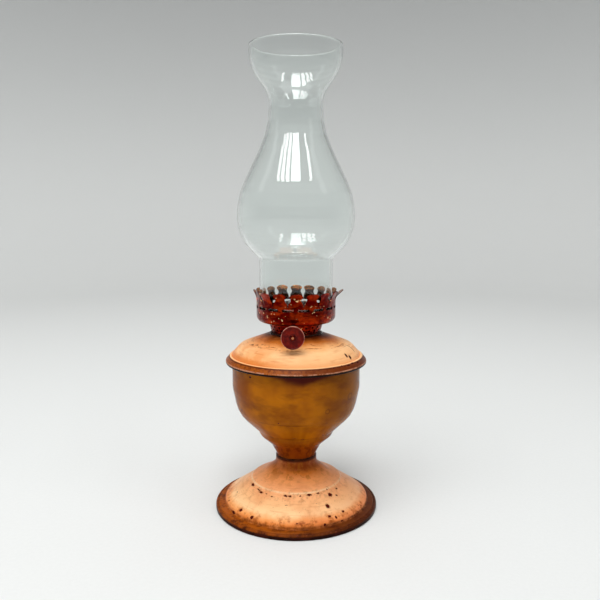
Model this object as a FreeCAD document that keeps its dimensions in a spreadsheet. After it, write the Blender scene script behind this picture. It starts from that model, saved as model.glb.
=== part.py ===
"""Flat-wick table lamp: a pressed tin foot and font, a brass burner with a crown gallery, a glass chimney.

Millimetres, +Z up, origin on the table under the middle of the foot, the wick knob towards -Y.
Every driving size is a cell of the sheet Sizes; the heights that stack up from them are in the sheet Levels.
"""
import FreeCAD, Part
import math
import os
import re

import Sketcher

# ---------------------------------------------------------------- driving sizes, millimetres

SIZES = {
    # sheet metal, glass and fits
    "tin_wall": 0.5,            # painted tin of the foot, bowl and lid
    "brass_wall": 0.4,          # brass sheet of the burner
    "glass_wall": 1.5,          # blown glass of the chimney
    "seam_gap": 0.05,           # between pieces that are soldered or crimped together
    "crimp_gap": 0.15,          # between a flange and the hem that is folded round it
    "running_gap": 0.08,        # between a turning piece and its bearing
    # foot
    "foot_radius": 47.9,        # outside of the rolled foot seam
    "foot_height": 3.2,         # height of the rolled foot seam
    "foot_recess": 0.8,         # how far the bottom plate stands above the table
    "foot_ring": 3.4,           # width of the ring that the foot stands on
    "band_inner_radius": 42.4,  # inner edge of the nearly flat brown band
    "band_lift": 0.4,
    "edge_radius": 42.2,        # where the cone's steep edge bends over
    "edge_rise": 2.6,
    "cone_radius": 27.3,        # top of the straight cone
    "cone_rise": 10.1,
    "crease_radius": 26.2,      # pressed crease round the cone
    "crease_rise": 1.3,
    "flare_radius": 20.6,       # where the flare to the neck begins
    "flare_rise": 2.2,
    "neck_radius": 12.4,        # outside of the foot's neck
    "neck_rise": 6.6,
    "neck_length": 4.4,
    # font
    "spigot_radius": 11.3,      # bottom of the font, which stands in the foot's neck
    "spigot_depth": 4.0,
    "spigot_rise": 5.0,
    "funnel_radius": 14.8,      # first pressed step of the font
    "funnel_rise": 6.6,
    "collar_step_radius": 21.1,  # second pressed step of the font
    "collar_step_rise": 5.6,
    "bowl_foot_radius": 22.8,
    "bowl_foot_rise": 3.2,
    "bowl_belly_radius": 34.2,
    "bowl_belly_rise": 11.1,
    "bowl_radius": 37.2,
    "bowl_rise": 14.8,
    "bowl_top_radius": 37.1,
    "bowl_top_rise": 14.9,
    "bowl_flange": 3.15,        # width of the flange that carries the lid
    "bowl_belly_rounding": 18.0,
    "bowl_rounding": 15.0,
    # lid
    "hem_width": 2.3,
    "band_rise": 0.9,           # height of the rim's outer edge above the bowl's flange
    "band_width": 2.4,          # sloping band between the rim's edge and the raised bead
    "bead_width": 0.9,
    "bead_rise": 3.8,
    "groove_width": 1.4,        # between the bead and the lid's dome
    "groove_depth": 0.7,
    "dome_rise": 5.6,
    "dome_shoulder_inset": 3.5,
    "dome_shoulder_rise": 9.6,
    "lid_seat_radius": 15.9,    # flat middle of the lid, under the burner
    "lid_rise": 15.95,
    # stud that holds the font on the foot
    "stud_radius": 2.0,
    "stud_length": 9.0,
    "stud_head_radius": 5.0,
    "stud_head": 1.0,
    "bridge_skirt": 2.0,
    "washer_radius": 8.0,
    "washer_thickness": 1.0,
    "nut_radius": 4.0,          # over the corners of the hexagon
    "nut_height": 3.2,
    "solder_width": 0.95,
    "solder_height": 0.8,
    # collar, seal and burner body
    "stub_radius": 12.0,        # outside of the burner's threaded stub
    "stub_depth": 6.0,
    "stub_flange_radius": 13.9,
    "collar_wall": 0.8,
    "collar_depth": 6.5,
    "collar_flange_radius": 15.5,
    "collar_flange": 0.5,
    "seal_radius": 14.8,
    "seal_thickness": 0.4,
    "seal_play": 0.6,
    "cup_foot_radius": 14.1,
    "cup_top_radius": 15.9,
    "cup_height": 5.4,
    "cup_lip": 2.6,             # width of the ring at the cup's bottom
    "cup_hole_radius": 0.65,
    "cup_row_low": 2.0,         # heights of the rows of air holes above the cup's bottom
    "cup_row_high": 3.8,
    # gallery
    "gallery_radius": 22.8,
    "gallery_lip": 1.4,         # how deep the gallery stands in the cup
    "gallery_floor_rise": 0.8,
    "gallery_corner": 2.6,
    "slot_level": 9.4,          # middle of the pierced slots above the gallery's floor
    "slot_width": 5.6,
    "slot_height": 1.1,
    "prong_root": 11.5,         # bottom of the gaps between the prongs above the gallery's floor
    "slit_rise": 1.3,           # heights above the prong's root
    "prong_waist": 3.6,
    "prong_cheek": 5.7,
    "prong_height": 7.3,
    "prong_bend": 3.4,          # where the prong starts to lean outward, above its root
    "prong_lean": 1.4,          # how far the prong's tip leans outward
    "gap_foot": 0.35,           # half widths of the gap between two prongs
    "gap_waist": 1.65,
    "gap_cheek": 0.75,
    "gap_mouth": 3.3,
    # air plate and flame dome
    "plate_rise": 1.4,          # above the gallery's floor
    "plate_gap": 0.3,
    "plate_hole_ring": 17.3,
    "plate_hole_radius": 0.75,
    "vent_ring": 8.5,
    "vent_radius": 1.2,
    "dome_foot_radius": 13.6,
    "dome_foot_lip": 1.4,
    "dome_cap_radius": 12.2,
    "dome_cap_rise": 6.2,
    "dome_top_radius": 5.5,
    "dome_height": 9.4,
    "flame_slot_length": 14.4,
    "flame_slot_width": 5.0,
    # wick and its tube
    "wick_offset": 2.0,         # middle of the wick from the lamp's axis, along X
    "wick_width": 11.5,
    "wick_thickness": 2.0,
    "wick_play": 0.3,
    "tube_wall": 0.4,
    "tube_below": 2.2,          # how far the wick tube reaches below the stub
    "tube_above": 7.9,          # and above the air plate
    "wick_above": 1.9,          # how far the wick stands out of its tube
    "wick_below": 34.0,         # and hangs below it, in the oil
    # winder
    "winder_level": 2.2,        # height of the shaft above the cup's bottom
    "shaft_radius": 0.9,
    "shaft_tail": 7.0,
    "knob_reach": 34.1,         # front of the rivet from the lamp's axis
    "rivet_radius": 1.6,
    "rivet_height": 0.6,
    "knob_radius": 6.35,
    "knob_disc": 0.6,
    "knob_rim": 0.75,
    "knob_rim_step": 0.4,
    "boss_radius": 2.2,
    "boss_length": 3.4,
    "spur_radius": 2.4,         # over the points of the spur wheels
    "spur_root": 1.7,
    "spur_width": 0.8,
    "spur_spacing": 2.6,
    "spur_bite": 0.2,
    "bracket_half_span": 5.6,
    "bracket_reach": 3.3,
    "bracket_half_height": 3.4,
    "window_play": 0.3,         # round the spur wheels
    "gland_radius": 1.9,
    "gland_inside": 3.5,        # how far the gland reaches into the cup
    "gland_outside": 2.7,
    "gland_flange_radius": 2.7,
    "gland_flange": 0.7,
    # chimney
    "fitter_radius": 21.0,
    "fitter_height": 34.2,
    "bulge_radius": 33.5,
    "bulge_rise": 11.8,
    "bulge_length": 22.1,
    "waist_radius": 15.0,
    "waist_rise": 38.4,
    "waist_length": 18.4,
    "mouth_radius": 26.05,
    "mouth_rise": 14.6,
    "mouth_length": 11.8,
    "bulge_low_rounding": 26.4,  # roundings of the blown outline, from the bulge up to the mouth
    "bulge_high_rounding": 45.0,
    "waist_low_rounding": 52.0,
    "waist_high_rounding": 16.7,
    "mouth_rounding": 25.0,
}

PRONGS = 16
CUP_HOLES = 24
PLATE_HOLES = 28
VENTS = 12
SPUR_TEETH = 8

# ---------------------------------------------------------------- heights that stack up from the sizes

LEVELS = {
    "band_z": "foot_height + band_lift",
    "edge_z": "band_z + edge_rise",
    "cone_z": "edge_z + cone_rise",
    "crease_z": "cone_z + crease_rise",
    "flare_z": "crease_z + flare_rise",
    "neck_root_z": "flare_z + neck_rise",
    "neck_top_z": "neck_root_z + neck_length",
    "font_floor_z": "neck_top_z - spigot_depth",
    "spigot_z": "font_floor_z + spigot_rise",
    "funnel_z": "spigot_z + funnel_rise",
    "collar_step_z": "funnel_z + collar_step_rise",
    "bowl_foot_z": "collar_step_z + bowl_foot_rise",
    "bowl_belly_z": "bowl_foot_z + bowl_belly_rise",
    "bowl_z": "bowl_belly_z + bowl_rise",
    "flange_z": "bowl_z + bowl_top_rise",
    "rim_radius": "bowl_top_radius + bowl_flange + crimp_gap + tin_wall",
    "bead_radius": "rim_radius - band_width",
    "dome_radius": "bead_radius - bead_width - groove_width",
    "dome_shoulder_radius": "dome_radius - dome_shoulder_inset",
    "lid_seat_z": "flange_z + lid_rise",
    "collar_top_z": "lid_seat_z + collar_flange",
    "stub_seat_z": "collar_top_z + seal_thickness",
    "cup_seat_z": "stub_seat_z + brass_wall",
    "cup_top_z": "cup_seat_z + cup_height",
    "gallery_floor_z": "cup_top_z + crimp_gap",
    "gallery_corner_z": "gallery_floor_z + gallery_floor_rise",
    "prong_root_z": "gallery_floor_z + prong_root",
    "prong_top_z": "prong_root_z + prong_height",
    "plate_z": "gallery_floor_z + plate_rise + gallery_floor_rise",
    "glass_seat_z": "plate_z + brass_wall",
    "winder_z": "cup_seat_z + winder_level",
    "winder_x": "wick_offset - wick_thickness / 2 - spur_bite - spur_radius",
    "tube_half_width": "wick_width / 2 + wick_play + tube_wall",
    "tube_half_depth": "wick_thickness / 2 + wick_play + tube_wall",
    "tube_top_z": "glass_seat_z + tube_above",
    "tube_bottom_z": "stub_seat_z - stub_depth - tube_below",
    "knob_back": "knob_reach - rivet_height - knob_disc",
    "gland_start": "cup_top_radius - gland_inside",
    "gland_end": "cup_top_radius + gland_outside",
    "shoulder_z": "glass_seat_z + fitter_height",
    "bulge_low_z": "shoulder_z + bulge_rise",
    "bulge_high_z": "bulge_low_z + bulge_length",
    "waist_low_z": "bulge_high_z + waist_rise",
    "waist_high_z": "waist_low_z + waist_length",
    "mouth_z": "waist_high_z + mouth_rise",
    "chimney_top_z": "mouth_z + mouth_length",
}

doc = FreeCAD.newDocument("table_lamp")
sizes = doc.addObject("Spreadsheet::Sheet", "Sizes")
levels = doc.addObject("Spreadsheet::Sheet", "Levels")


def linked(formula):
    """The formula with each of its names pointing at the sheet that holds it."""
    def place(match):
        name = match.group(0)
        if name in SIZES:
            return "Sizes." + name
        if name in LEVELS:
            return "Levels." + name
        return name
    return re.sub(r"[a-z_]\w*", place, str(formula))


for row, (name, size) in enumerate(SIZES.items(), start=1):
    sizes.set(f"A{row}", name)
    sizes.set(f"B{row}", str(size))
    sizes.setAlias(f"B{row}", name)
doc.recompute()
for row, (name, formula) in enumerate(LEVELS.items(), start=1):
    levels.set(f"A{row}", name)
    levels.set(f"B{row}", "=" + linked(formula).replace("Levels.", ""))
    levels.setAlias(f"B{row}", name)
    doc.recompute()


def value(formula):
    """The number that a formula gives now."""
    return float(levels.evalExpression(linked(formula).replace("Levels.", "")))


# ---------------------------------------------------------------- sketching and turning


def draw(sketch, corners, closed=False):
    """Draw straight runs between corners (across, up, rounding) in a sketch, all bound to the sheets.

    A corner without a rounding stays sharp. A rounded corner keeps its place as a construction point
    on both runs, so that its size reads the same with any rounding.
    """
    points = [FreeCAD.Vector(value(corner[0]), value(corner[1]), 0) for corner in corners]
    count = len(points)
    run_ends = [[point, point] for point in points]
    arcs = {}
    for index, corner in enumerate(corners):
        if len(corner) < 3:
            continue
        here = points[index]
        back = (points[index - 1] - here).normalize()
        ahead = (points[(index + 1) % count] - here).normalize()
        half_angle = back.getAngle(ahead) / 2
        radius = value(corner[2])
        trim = radius / math.tan(half_angle)
        centre = here + (back + ahead).normalize() * (radius / math.sin(half_angle))
        start = here + back * trim
        end = here + ahead * trim
        start_angle = math.atan2(start.y - centre.y, start.x - centre.x)
        end_angle = math.atan2(end.y - centre.y, end.x - centre.x)
        turns_left = back.cross(ahead).z < 0
        circle = Part.Circle(centre, FreeCAD.Vector(0, 0, 1), radius)
        if turns_left:
            arcs[index] = (Part.ArcOfCircle(circle, start_angle, end_angle), 1, 2)
        else:
            arcs[index] = (Part.ArcOfCircle(circle, end_angle, start_angle), 2, 1)
        run_ends[index] = [start, end]

    run_count = count if closed else count - 1
    runs = []
    for index in range(run_count):
        run = Part.LineSegment(run_ends[index][1], run_ends[(index + 1) % count][0])
        runs.append(sketch.addGeometry(run))

    constraint = Sketcher.Constraint
    for index, corner in enumerate(corners):
        before = runs[index - 1] if index > 0 or closed else None
        after = runs[index] if index < run_count else None
        if index in arcs:
            arc, first, last = arcs[index]
            bend = sketch.addGeometry(arc)
            sketch.addConstraint(constraint("Tangent", before, 2, bend, first))
            sketch.addConstraint(constraint("Tangent", bend, last, after, 1))
            size = sketch.addConstraint(constraint("Radius", bend, value(corner[2])))
            sketch.setExpression(f"Constraints[{size}]", linked(corner[2]))
            held = sketch.addGeometry(Part.Point(points[index]), True)
            sketch.addConstraint(constraint("PointOnObject", held, 1, before))
            sketch.addConstraint(constraint("PointOnObject", held, 1, after))
            held_end = 1
        elif after is None:
            held, held_end = before, 2
        else:
            held, held_end = after, 1
            if before is not None:
                sketch.addConstraint(constraint("Coincident", before, 2, after, 1))
        for kind, formula in (("DistanceX", corner[0]), ("DistanceY", corner[1])):
            size = sketch.addConstraint(constraint(kind, -1, 1, held, held_end, value(formula)))
            sketch.setExpression(f"Constraints[{size}]", linked(formula))


def half_section(name, corners, closed=False):
    """A sketch in the XZ plane: across is the radius from the lamp's axis, up is the height."""
    sketch = doc.addObject("Sketcher::SketchObject", name)
    sketch.Placement = FreeCAD.Placement(FreeCAD.Vector(), FreeCAD.Rotation(FreeCAD.Vector(1, 0, 0), 90))
    draw(sketch, corners, closed)
    return sketch


def turned(name, section):
    """Turn a half section about the Z axis."""
    piece = doc.addObject("Part::Revolution", name)
    piece.Source = section
    piece.Base = FreeCAD.Vector(0, 0, 0)
    piece.Axis = FreeCAD.Vector(0, 0, 1)
    piece.Angle = 360
    piece.Solid = True
    return piece


def turned_solid(name, corners):
    """A solid turned from a closed half section."""
    return turned(name, half_section(name + "_section", corners, closed=True))


def turned_sheet(name, wall, corners):
    """A pressed or blown shell: its outer surface turned, with the wall on the left of the drawn run."""
    section = doc.addObject("Part::Offset2D", name + "_section")
    section.Source = half_section(name + "_outline", corners)
    section.Mode = "Skin"
    section.Join = "Intersection"
    section.Fill = True
    section.setExpression("Value", linked(wall))
    return turned(name, section)


def part(kind, name, **bindings):
    """A Part object with its properties bound to the sheets."""
    piece = doc.addObject(kind, name)
    for property_name, formula in bindings.items():
        piece.setExpression(property_name.replace("__", "."), linked(formula))
    return piece


def cut(name, base, tool):
    piece = doc.addObject("Part::Cut", name)
    piece.Base = base
    piece.Tool = tool
    return piece


def origin_feature(body, role):
    return next(feature for feature in body.Origin.OriginFeatures if feature.Role == role)


def body_sketch(body, name, role):
    """A sketch on one of the body's own origin planes."""
    sketch = body.newObject("Sketcher::SketchObject", name)
    sketch.AttachmentSupport = [(origin_feature(body, role), "")]
    sketch.MapMode = "FlatFace"
    return sketch


def body_on(name, base=None):
    """A new body, empty or started from a finished Part object."""
    body = doc.addObject("PartDesign::Body", name)
    if base is not None:
        body.BaseFeature = base
    doc.recompute()
    return body


def pierced(body, sketch, name, start, copies=1, along_normal=True):
    """Pocket a sketch through all that lies beyond its start, then repeat it round the Z axis.

    The start is the sketch's distance from its origin plane, so that a cut leaves the far wall alone.
    """
    volume_before = body.Shape.Volume
    sketch.setExpression("AttachmentOffset.Base.z", linked(start))
    pocket = body.newObject("PartDesign::Pocket", name)
    pocket.Profile = sketch
    pocket.Type = "ThroughAll"
    pocket.Reversed = along_normal
    pocket.Refine = False
    doc.recompute()
    if not pocket.Shape.Volume < volume_before:
        raise RuntimeError(f"{name} cuts nothing")
    if copies > 1:
        pattern = body.newObject("PartDesign::PolarPattern", name + "_ring")
        pattern.Originals = [pocket]
        pattern.Axis = (origin_feature(body, "Z_Axis"), [""])
        pattern.Angle = 360
        pattern.Occurrences = copies
        pattern.Refine = False
        body.Tip = pattern
        doc.recompute()
        if not pattern.Shape.Volume < pocket.Shape.Volume:
            raise RuntimeError(f"{name} is not repeated")


def add_circle(sketch, across, up, radius):
    """A full circle with its centre and radius bound to the sheets."""
    centre = FreeCAD.Vector(value(across), value(up), 0)
    circle = sketch.addGeometry(Part.Circle(centre, FreeCAD.Vector(0, 0, 1), value(radius)))
    for kind, formula in (("DistanceX", across), ("DistanceY", up)):
        size = sketch.addConstraint(Sketcher.Constraint(kind, -1, 1, circle, 3, value(formula)))
        sketch.setExpression(f"Constraints[{size}]", linked(formula))
    size = sketch.addConstraint(Sketcher.Constraint("Radius", circle, value(radius)))
    sketch.setExpression(f"Constraints[{size}]", linked(radius))


def slab_corners(centre_x, half_x, centre_y, half_y, rounding):
    """Four rounded corners of a rectangle, counter-clockwise."""
    return [
        (f"{centre_x} - ({half_x})", f"{centre_y} - ({half_y})", rounding),
        (f"{centre_x} + ({half_x})", f"{centre_y} - ({half_y})", rounding),
        (f"{centre_x} + ({half_x})", f"{centre_y} + ({half_y})", rounding),
        (f"{centre_x} - ({half_x})", f"{centre_y} + ({half_y})", rounding),
    ]


nodes = []


# ---------------------------------------------------------------- foot

# The foot is one pressing: a flange that the bottom plate's hem grips, a nearly flat band, a steep edge,
# a straight cone with a crease, and a flare that ends in the neck.
nodes.append(turned_sheet("base_shell", "tin_wall", [
    ("foot_radius - tin_wall - crimp_gap", "2 * tin_wall + crimp_gap"),
    ("foot_radius - 3.4 * tin_wall", "2 * tin_wall + crimp_gap", 0.3),
    ("foot_radius - 3.4 * tin_wall", "foot_height + tin_wall / 2", 0.6),
    ("band_inner_radius", "band_z", 0.8),
    ("edge_radius", "edge_z", 2.5),
    ("cone_radius", "cone_z", 1.0),
    ("crease_radius", "crease_z", 0.7),
    ("flare_radius", "flare_z", 4),
    ("neck_radius", "neck_root_z", 4),
    ("neck_radius", "neck_top_z"),
]))

# The bottom plate closes the foot. Its edge is rolled up and over the foot's flange.
nodes.append(turned_sheet("base_plate", "tin_wall", [
    (0, "foot_recess"),
    ("foot_radius - foot_ring - foot_recess", "foot_recess", 0.6),
    ("foot_radius - foot_ring", 0, 0.6),
    ("foot_radius", 0, 0.8),
    ("foot_radius", "foot_height", 1.2),
    ("foot_radius - 3.4 * tin_wall + crimp_gap", "foot_height"),
]))

# A soldered bridge across the neck carries the font.
nodes.append(turned_sheet("base_bridge", "tin_wall", [
    ("neck_radius - tin_wall - seam_gap", "font_floor_z - bridge_skirt"),
    ("neck_radius - tin_wall - seam_gap", "font_floor_z", 0.8),
    ("stud_radius + seam_gap", "font_floor_z"),
]))

# The stud's head is soldered inside the font; its shank goes down through the bridge.
nodes.append(turned_solid("stem_stud", [
    (0, "font_floor_z - tin_wall - stud_length"),
    ("stud_radius", "font_floor_z - tin_wall - stud_length"),
    ("stud_radius", "font_floor_z + tin_wall"),
    ("stud_head_radius", "font_floor_z + tin_wall"),
    ("stud_head_radius", "font_floor_z + tin_wall + stud_head", 0.4),
    (0, "font_floor_z + tin_wall + stud_head"),
]))

nodes.append(turned_solid("stem_washer", [
    ("stud_radius + seam_gap", "font_floor_z - tin_wall - washer_thickness"),
    ("washer_radius", "font_floor_z - tin_wall - washer_thickness"),
    ("washer_radius", "font_floor_z - tin_wall"),
    ("stud_radius + seam_gap", "font_floor_z - tin_wall"),
]))

nut_bottom = "font_floor_z - tin_wall - washer_thickness - nut_height"
nut_blank = part(
    "Part::Prism", "nut_blank", Circumradius="nut_radius", Height="nut_height", Placement__Base__z=nut_bottom)
nut_blank.Polygon = 6
nut_bore = part(
    "Part::Cylinder", "nut_bore", Radius="stud_radius + seam_gap", Height="nut_height",
    Placement__Base__z=nut_bottom)
nodes.append(cut("stem_nut", nut_blank, nut_bore))

# A fillet of solder seals the neck where the font stands in it.
nodes.append(turned_solid("neck_solder", [
    ("spigot_radius + seam_gap * 3", "neck_top_z"),
    ("spigot_radius + solder_width", "neck_top_z"),
    ("spigot_radius + seam_gap * 3", "neck_top_z + solder_height"),
]))

# ---------------------------------------------------------------- font

# The font is a bowl on a stepped funnel. Its flange carries the lid.
nodes.append(turned_sheet("font_bowl", "tin_wall", [
    ("stud_radius + seam_gap", "font_floor_z"),
    ("spigot_radius", "font_floor_z", 0.9),
    ("spigot_radius + seam_gap", "spigot_z", 2),
    ("funnel_radius", "funnel_z", 2),
    ("collar_step_radius", "collar_step_z", 1.4),
    ("bowl_foot_radius", "bowl_foot_z", 2),
    ("bowl_belly_radius", "bowl_belly_z", "bowl_belly_rounding"),
    ("bowl_radius", "bowl_z", "bowl_rounding"),
    ("bowl_top_radius", "flange_z", 0.8),
    ("bowl_top_radius + bowl_flange", "flange_z"),
]))

# The lid's hem is folded under the bowl's flange. Inside the sloping band stand a bead and the dome.
nodes.append(turned_sheet("font_lid", "tin_wall", [
    ("rim_radius - hem_width", "flange_z - crimp_gap - tin_wall"),
    ("rim_radius", "flange_z - crimp_gap - tin_wall", 0.6),
    ("rim_radius", "flange_z + band_rise", 0.5),
    ("bead_radius", "flange_z + bead_rise", 0.6),
    ("bead_radius - bead_width", "flange_z + bead_rise", 0.55),
    ("dome_radius + 1", "flange_z + bead_rise - groove_depth", 0.2),
    ("dome_radius", "flange_z + dome_rise", 3),
    ("dome_shoulder_radius", "flange_z + dome_shoulder_rise", 6),
    ("lid_seat_radius", "lid_seat_z", 1),
    ("stub_radius + running_gap + collar_wall + seam_gap", "lid_seat_z"),
]))

# The brass collar is soldered into the lid. The burner screws into it.
nodes.append(turned_solid("burner_collar", [
    ("stub_radius + running_gap", "lid_seat_z - collar_depth"),
    ("stub_radius + running_gap + collar_wall", "lid_seat_z - collar_depth"),
    ("stub_radius + running_gap + collar_wall", "lid_seat_z"),
    ("collar_flange_radius", "lid_seat_z"),
    ("collar_flange_radius", "collar_top_z"),
    ("stub_radius + running_gap", "collar_top_z"),
]))

# A leather ring seals the burner on the collar.
nodes.append(turned_solid("collar_washer", [
    ("stub_radius + seal_play", "collar_top_z"),
    ("seal_radius", "collar_top_z"),
    ("seal_radius", "stub_seat_z"),
    ("stub_radius + seal_play", "stub_seat_z"),
]))

# ---------------------------------------------------------------- burner body

# The wick tube's cuts in the stub, the plate and the dome all come from one rectangle and a gap.
TUBE_HOLE = ("wick_offset", "tube_half_depth + seam_gap", "0", "tube_half_width + seam_gap", "0.9 + seam_gap")

stub_blank = turned_sheet("stub_blank", "brass_wall", [
    (0, "stub_seat_z - stub_depth"),
    ("stub_radius", "stub_seat_z - stub_depth", 0.8),
    ("stub_radius", "stub_seat_z", 0.5),
    ("stub_flange_radius", "stub_seat_z"),
])
stub = body_on("burner_stub", stub_blank)
stub_slot = body_sketch(stub, "stub_slot", "XY_Plane")
draw(stub_slot, slab_corners(*TUBE_HOLE), closed=True)
pierced(stub, stub_slot, "stub_slot_cut", "tube_bottom_z")
nodes.append(stub)

# The perforated cup stands on the stub's flange and lets air in.
cup_blank = turned_sheet("cup_blank", "brass_wall", [
    ("cup_foot_radius - cup_lip", "cup_seat_z"),
    ("cup_foot_radius", "cup_seat_z", 0.6),
    ("cup_top_radius", "cup_top_z"),
])
cup = body_on("burner_cup", cup_blank)
low_hole = body_sketch(cup, "low_hole", "XZ_Plane")
add_circle(low_hole, 0, "cup_seat_z + cup_row_low", "cup_hole_radius")
pierced(cup, low_hole, "low_hole_cut", "cup_foot_radius - cup_lip", CUP_HOLES)
high_hole = body_sketch(cup, "high_hole", "XZ_Plane")
high_hole.AttachmentOffset = FreeCAD.Placement(
    FreeCAD.Vector(), FreeCAD.Rotation(FreeCAD.Vector(0, 1, 0), 180 / CUP_HOLES))
add_circle(high_hole, 0, "cup_seat_z + cup_row_high", "cup_hole_radius")
pierced(cup, high_hole, "high_hole_cut", "cup_foot_radius - cup_lip", CUP_HOLES)
gland_hole = body_sketch(cup, "gland_hole", "XZ_Plane")
add_circle(gland_hole, "winder_x", "winder_z", "gland_radius + seam_gap")
pierced(cup, gland_hole, "gland_hole_cut", "cup_foot_radius - cup_lip")
nodes.append(cup)

# The gallery is one pressing. Its lip stands in the cup; its wall ends in a crown of prongs.
lip_slope = "(cup_top_radius - cup_foot_radius) / cup_height"
lip_top = "cup_top_radius - brass_wall - crimp_gap"
gallery_blank = turned_sheet("gallery_blank", "brass_wall", [
    (f"{lip_top} - {lip_slope} * gallery_lip", "gallery_floor_z - gallery_lip"),
    (lip_top, "gallery_floor_z", 0.5),
    ("gallery_radius", "gallery_corner_z", "gallery_corner"),
    ("gallery_radius", "prong_root_z + prong_bend", 3),
    ("gallery_radius + prong_lean", "prong_top_z"),
])
gallery = body_on("gallery", gallery_blank)
gap = body_sketch(gallery, "prong_gap", "XZ_Plane")
gap_right = [
    ("gap_foot", "prong_root_z", 0.3),
    ("gap_foot", "prong_root_z + slit_rise", 0.5),
    ("gap_waist", "prong_root_z + prong_waist", 1.0),
    ("gap_cheek", "prong_root_z + prong_cheek", 0.5),
    ("gap_mouth", "prong_top_z + 0.5"),
]
gap_left = [("-1 * " + corner[0],) + corner[1:] for corner in reversed(gap_right)]
draw(gap, gap_right + gap_left, closed=True)
draw(gap, slab_corners(
    "0", "slot_width / 2", "gallery_floor_z + slot_level", "slot_height / 2", 0.4), closed=True)
pierced(gallery, gap, "prong_gap_cut", "cup_top_radius + cup_lip", PRONGS)
gallery.Placement = FreeCAD.Placement(
    FreeCAD.Vector(), FreeCAD.Rotation(FreeCAD.Vector(0, 0, 1), 180 / PRONGS))
nodes.append(gallery)

# The air plate spreads the draught and carries the chimney.
plate_blank = turned_solid("plate_blank", [
    (0, "plate_z"),
    ("gallery_radius - brass_wall - plate_gap", "plate_z"),
    ("gallery_radius - brass_wall - plate_gap", "glass_seat_z"),
    (0, "glass_seat_z"),
])
plate = body_on("air_plate", plate_blank)
plate_slot = body_sketch(plate, "plate_slot", "XY_Plane")
draw(plate_slot, slab_corners(*TUBE_HOLE), closed=True)
pierced(plate, plate_slot, "plate_slot_cut", "cup_top_z")
plate_hole = body_sketch(plate, "plate_hole", "XY_Plane")
add_circle(plate_hole, "plate_hole_ring", 0, "plate_hole_radius")
pierced(plate, plate_hole, "plate_hole_cut", "cup_top_z", PLATE_HOLES)
vent = body_sketch(plate, "vent", "XY_Plane")
add_circle(vent, "vent_ring", 0, "vent_radius")
pierced(plate, vent, "vent_cut", "cup_top_z", VENTS)
nodes.append(plate)

# The flame dome stands on the air plate over the wick tube, with a slot for the flame.
dome_blank = turned_sheet("dome_blank", "brass_wall", [
    ("dome_foot_radius + dome_foot_lip", "glass_seat_z + brass_wall"),
    ("dome_foot_radius", "glass_seat_z + brass_wall", 0.5),
    ("dome_cap_radius", "glass_seat_z + dome_cap_rise", 4),
    ("dome_top_radius", "glass_seat_z + dome_height", 4),
    (0, "glass_seat_z + dome_height"),
])
dome = body_on("flame_dome", dome_blank)
flame_slot = body_sketch(dome, "flame_slot", "XY_Plane")
draw(flame_slot, slab_corners(
    "wick_offset", "flame_slot_width / 2", "0", "flame_slot_length / 2", "flame_slot_width * 0.45"),
    closed=True)
pierced(dome, flame_slot, "flame_slot_cut", "glass_seat_z")
nodes.append(dome)

# ---------------------------------------------------------------- wick and its tube

tube = body_on("wick_tube")
tube_section = body_sketch(tube, "tube_section", "XY_Plane")
draw(tube_section, slab_corners("wick_offset", "tube_half_depth", "0", "tube_half_width", 0.9), closed=True)
draw(tube_section, slab_corners(
    "wick_offset", "tube_half_depth - tube_wall", "0", "tube_half_width - tube_wall", 0.5), closed=True)
tube_section.setExpression("AttachmentOffset.Base.z", linked("tube_bottom_z"))
tube_pad = tube.newObject("PartDesign::Pad", "tube_pad")
tube_pad.Profile = tube_section
tube_pad.setExpression("Length", linked("tube_top_z - tube_bottom_z"))
doc.recompute()
# A window in the tube's wall lets the spur wheels bite on the wick.
window = body_sketch(tube, "window", "YZ_Plane")
draw(window, slab_corners(
    "0", "spur_spacing + spur_width + window_play", "winder_z", "spur_radius + window_play", 0.5), closed=True)
pierced(tube, window, "window_cut", "wick_offset", along_normal=False)
nodes.append(tube)

wick = body_on("wick")
wick_section = body_sketch(wick, "wick_section", "XY_Plane")
wick_section.setExpression("AttachmentOffset.Base.z", linked("tube_bottom_z - wick_below"))
draw(wick_section, slab_corners(
    "wick_offset", "wick_thickness / 2", "0", "wick_width / 2", "wick_thickness * 0.35"), closed=True)
wick_pad = wick.newObject("PartDesign::Pad", "wick_pad")
wick_pad.Profile = wick_section
wick_pad.setExpression("Length", linked("tube_top_z + wick_above - tube_bottom_z + wick_below"))
nodes.append(wick)

# ---------------------------------------------------------------- winder

# Pieces on the shaft are turned upright and then laid down, so that up becomes forward, towards -Y.


def on_shaft(piece):
    """Lay a piece turned about Z along the winder's axis."""
    piece.Placement = FreeCAD.Placement(FreeCAD.Vector(), FreeCAD.Rotation(FreeCAD.Vector(1, 0, 0), 90))
    piece.setExpression("Placement.Base.x", linked("winder_x"))
    piece.setExpression("Placement.Base.z", linked("winder_z"))
    return piece


# The shaft ends in a rivet head that holds the knob.
nodes.append(on_shaft(turned_solid("winder_shaft", [
    (0, "-1 * shaft_tail"),
    ("shaft_radius", "-1 * shaft_tail"),
    ("shaft_radius", "knob_reach - rivet_height"),
    ("rivet_radius", "knob_reach - rivet_height"),
    ("rivet_radius", "knob_reach", 0.4),
    (0, "knob_reach"),
])))

nodes.append(on_shaft(turned_solid("winder_knob", [
    ("shaft_radius", "knob_back"),
    ("knob_radius - knob_rim", "knob_back"),
    ("knob_radius - knob_rim", "knob_back - knob_rim_step"),
    ("knob_radius", "knob_back - knob_rim_step", 0.3),
    ("knob_radius", "knob_back + knob_disc + knob_rim_step", 0.35),
    ("knob_radius - knob_rim", "knob_back + knob_disc + knob_rim_step", 0.3),
    ("knob_radius - knob_rim", "knob_back + knob_disc"),
    ("shaft_radius", "knob_back + knob_disc"),
])))

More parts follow.
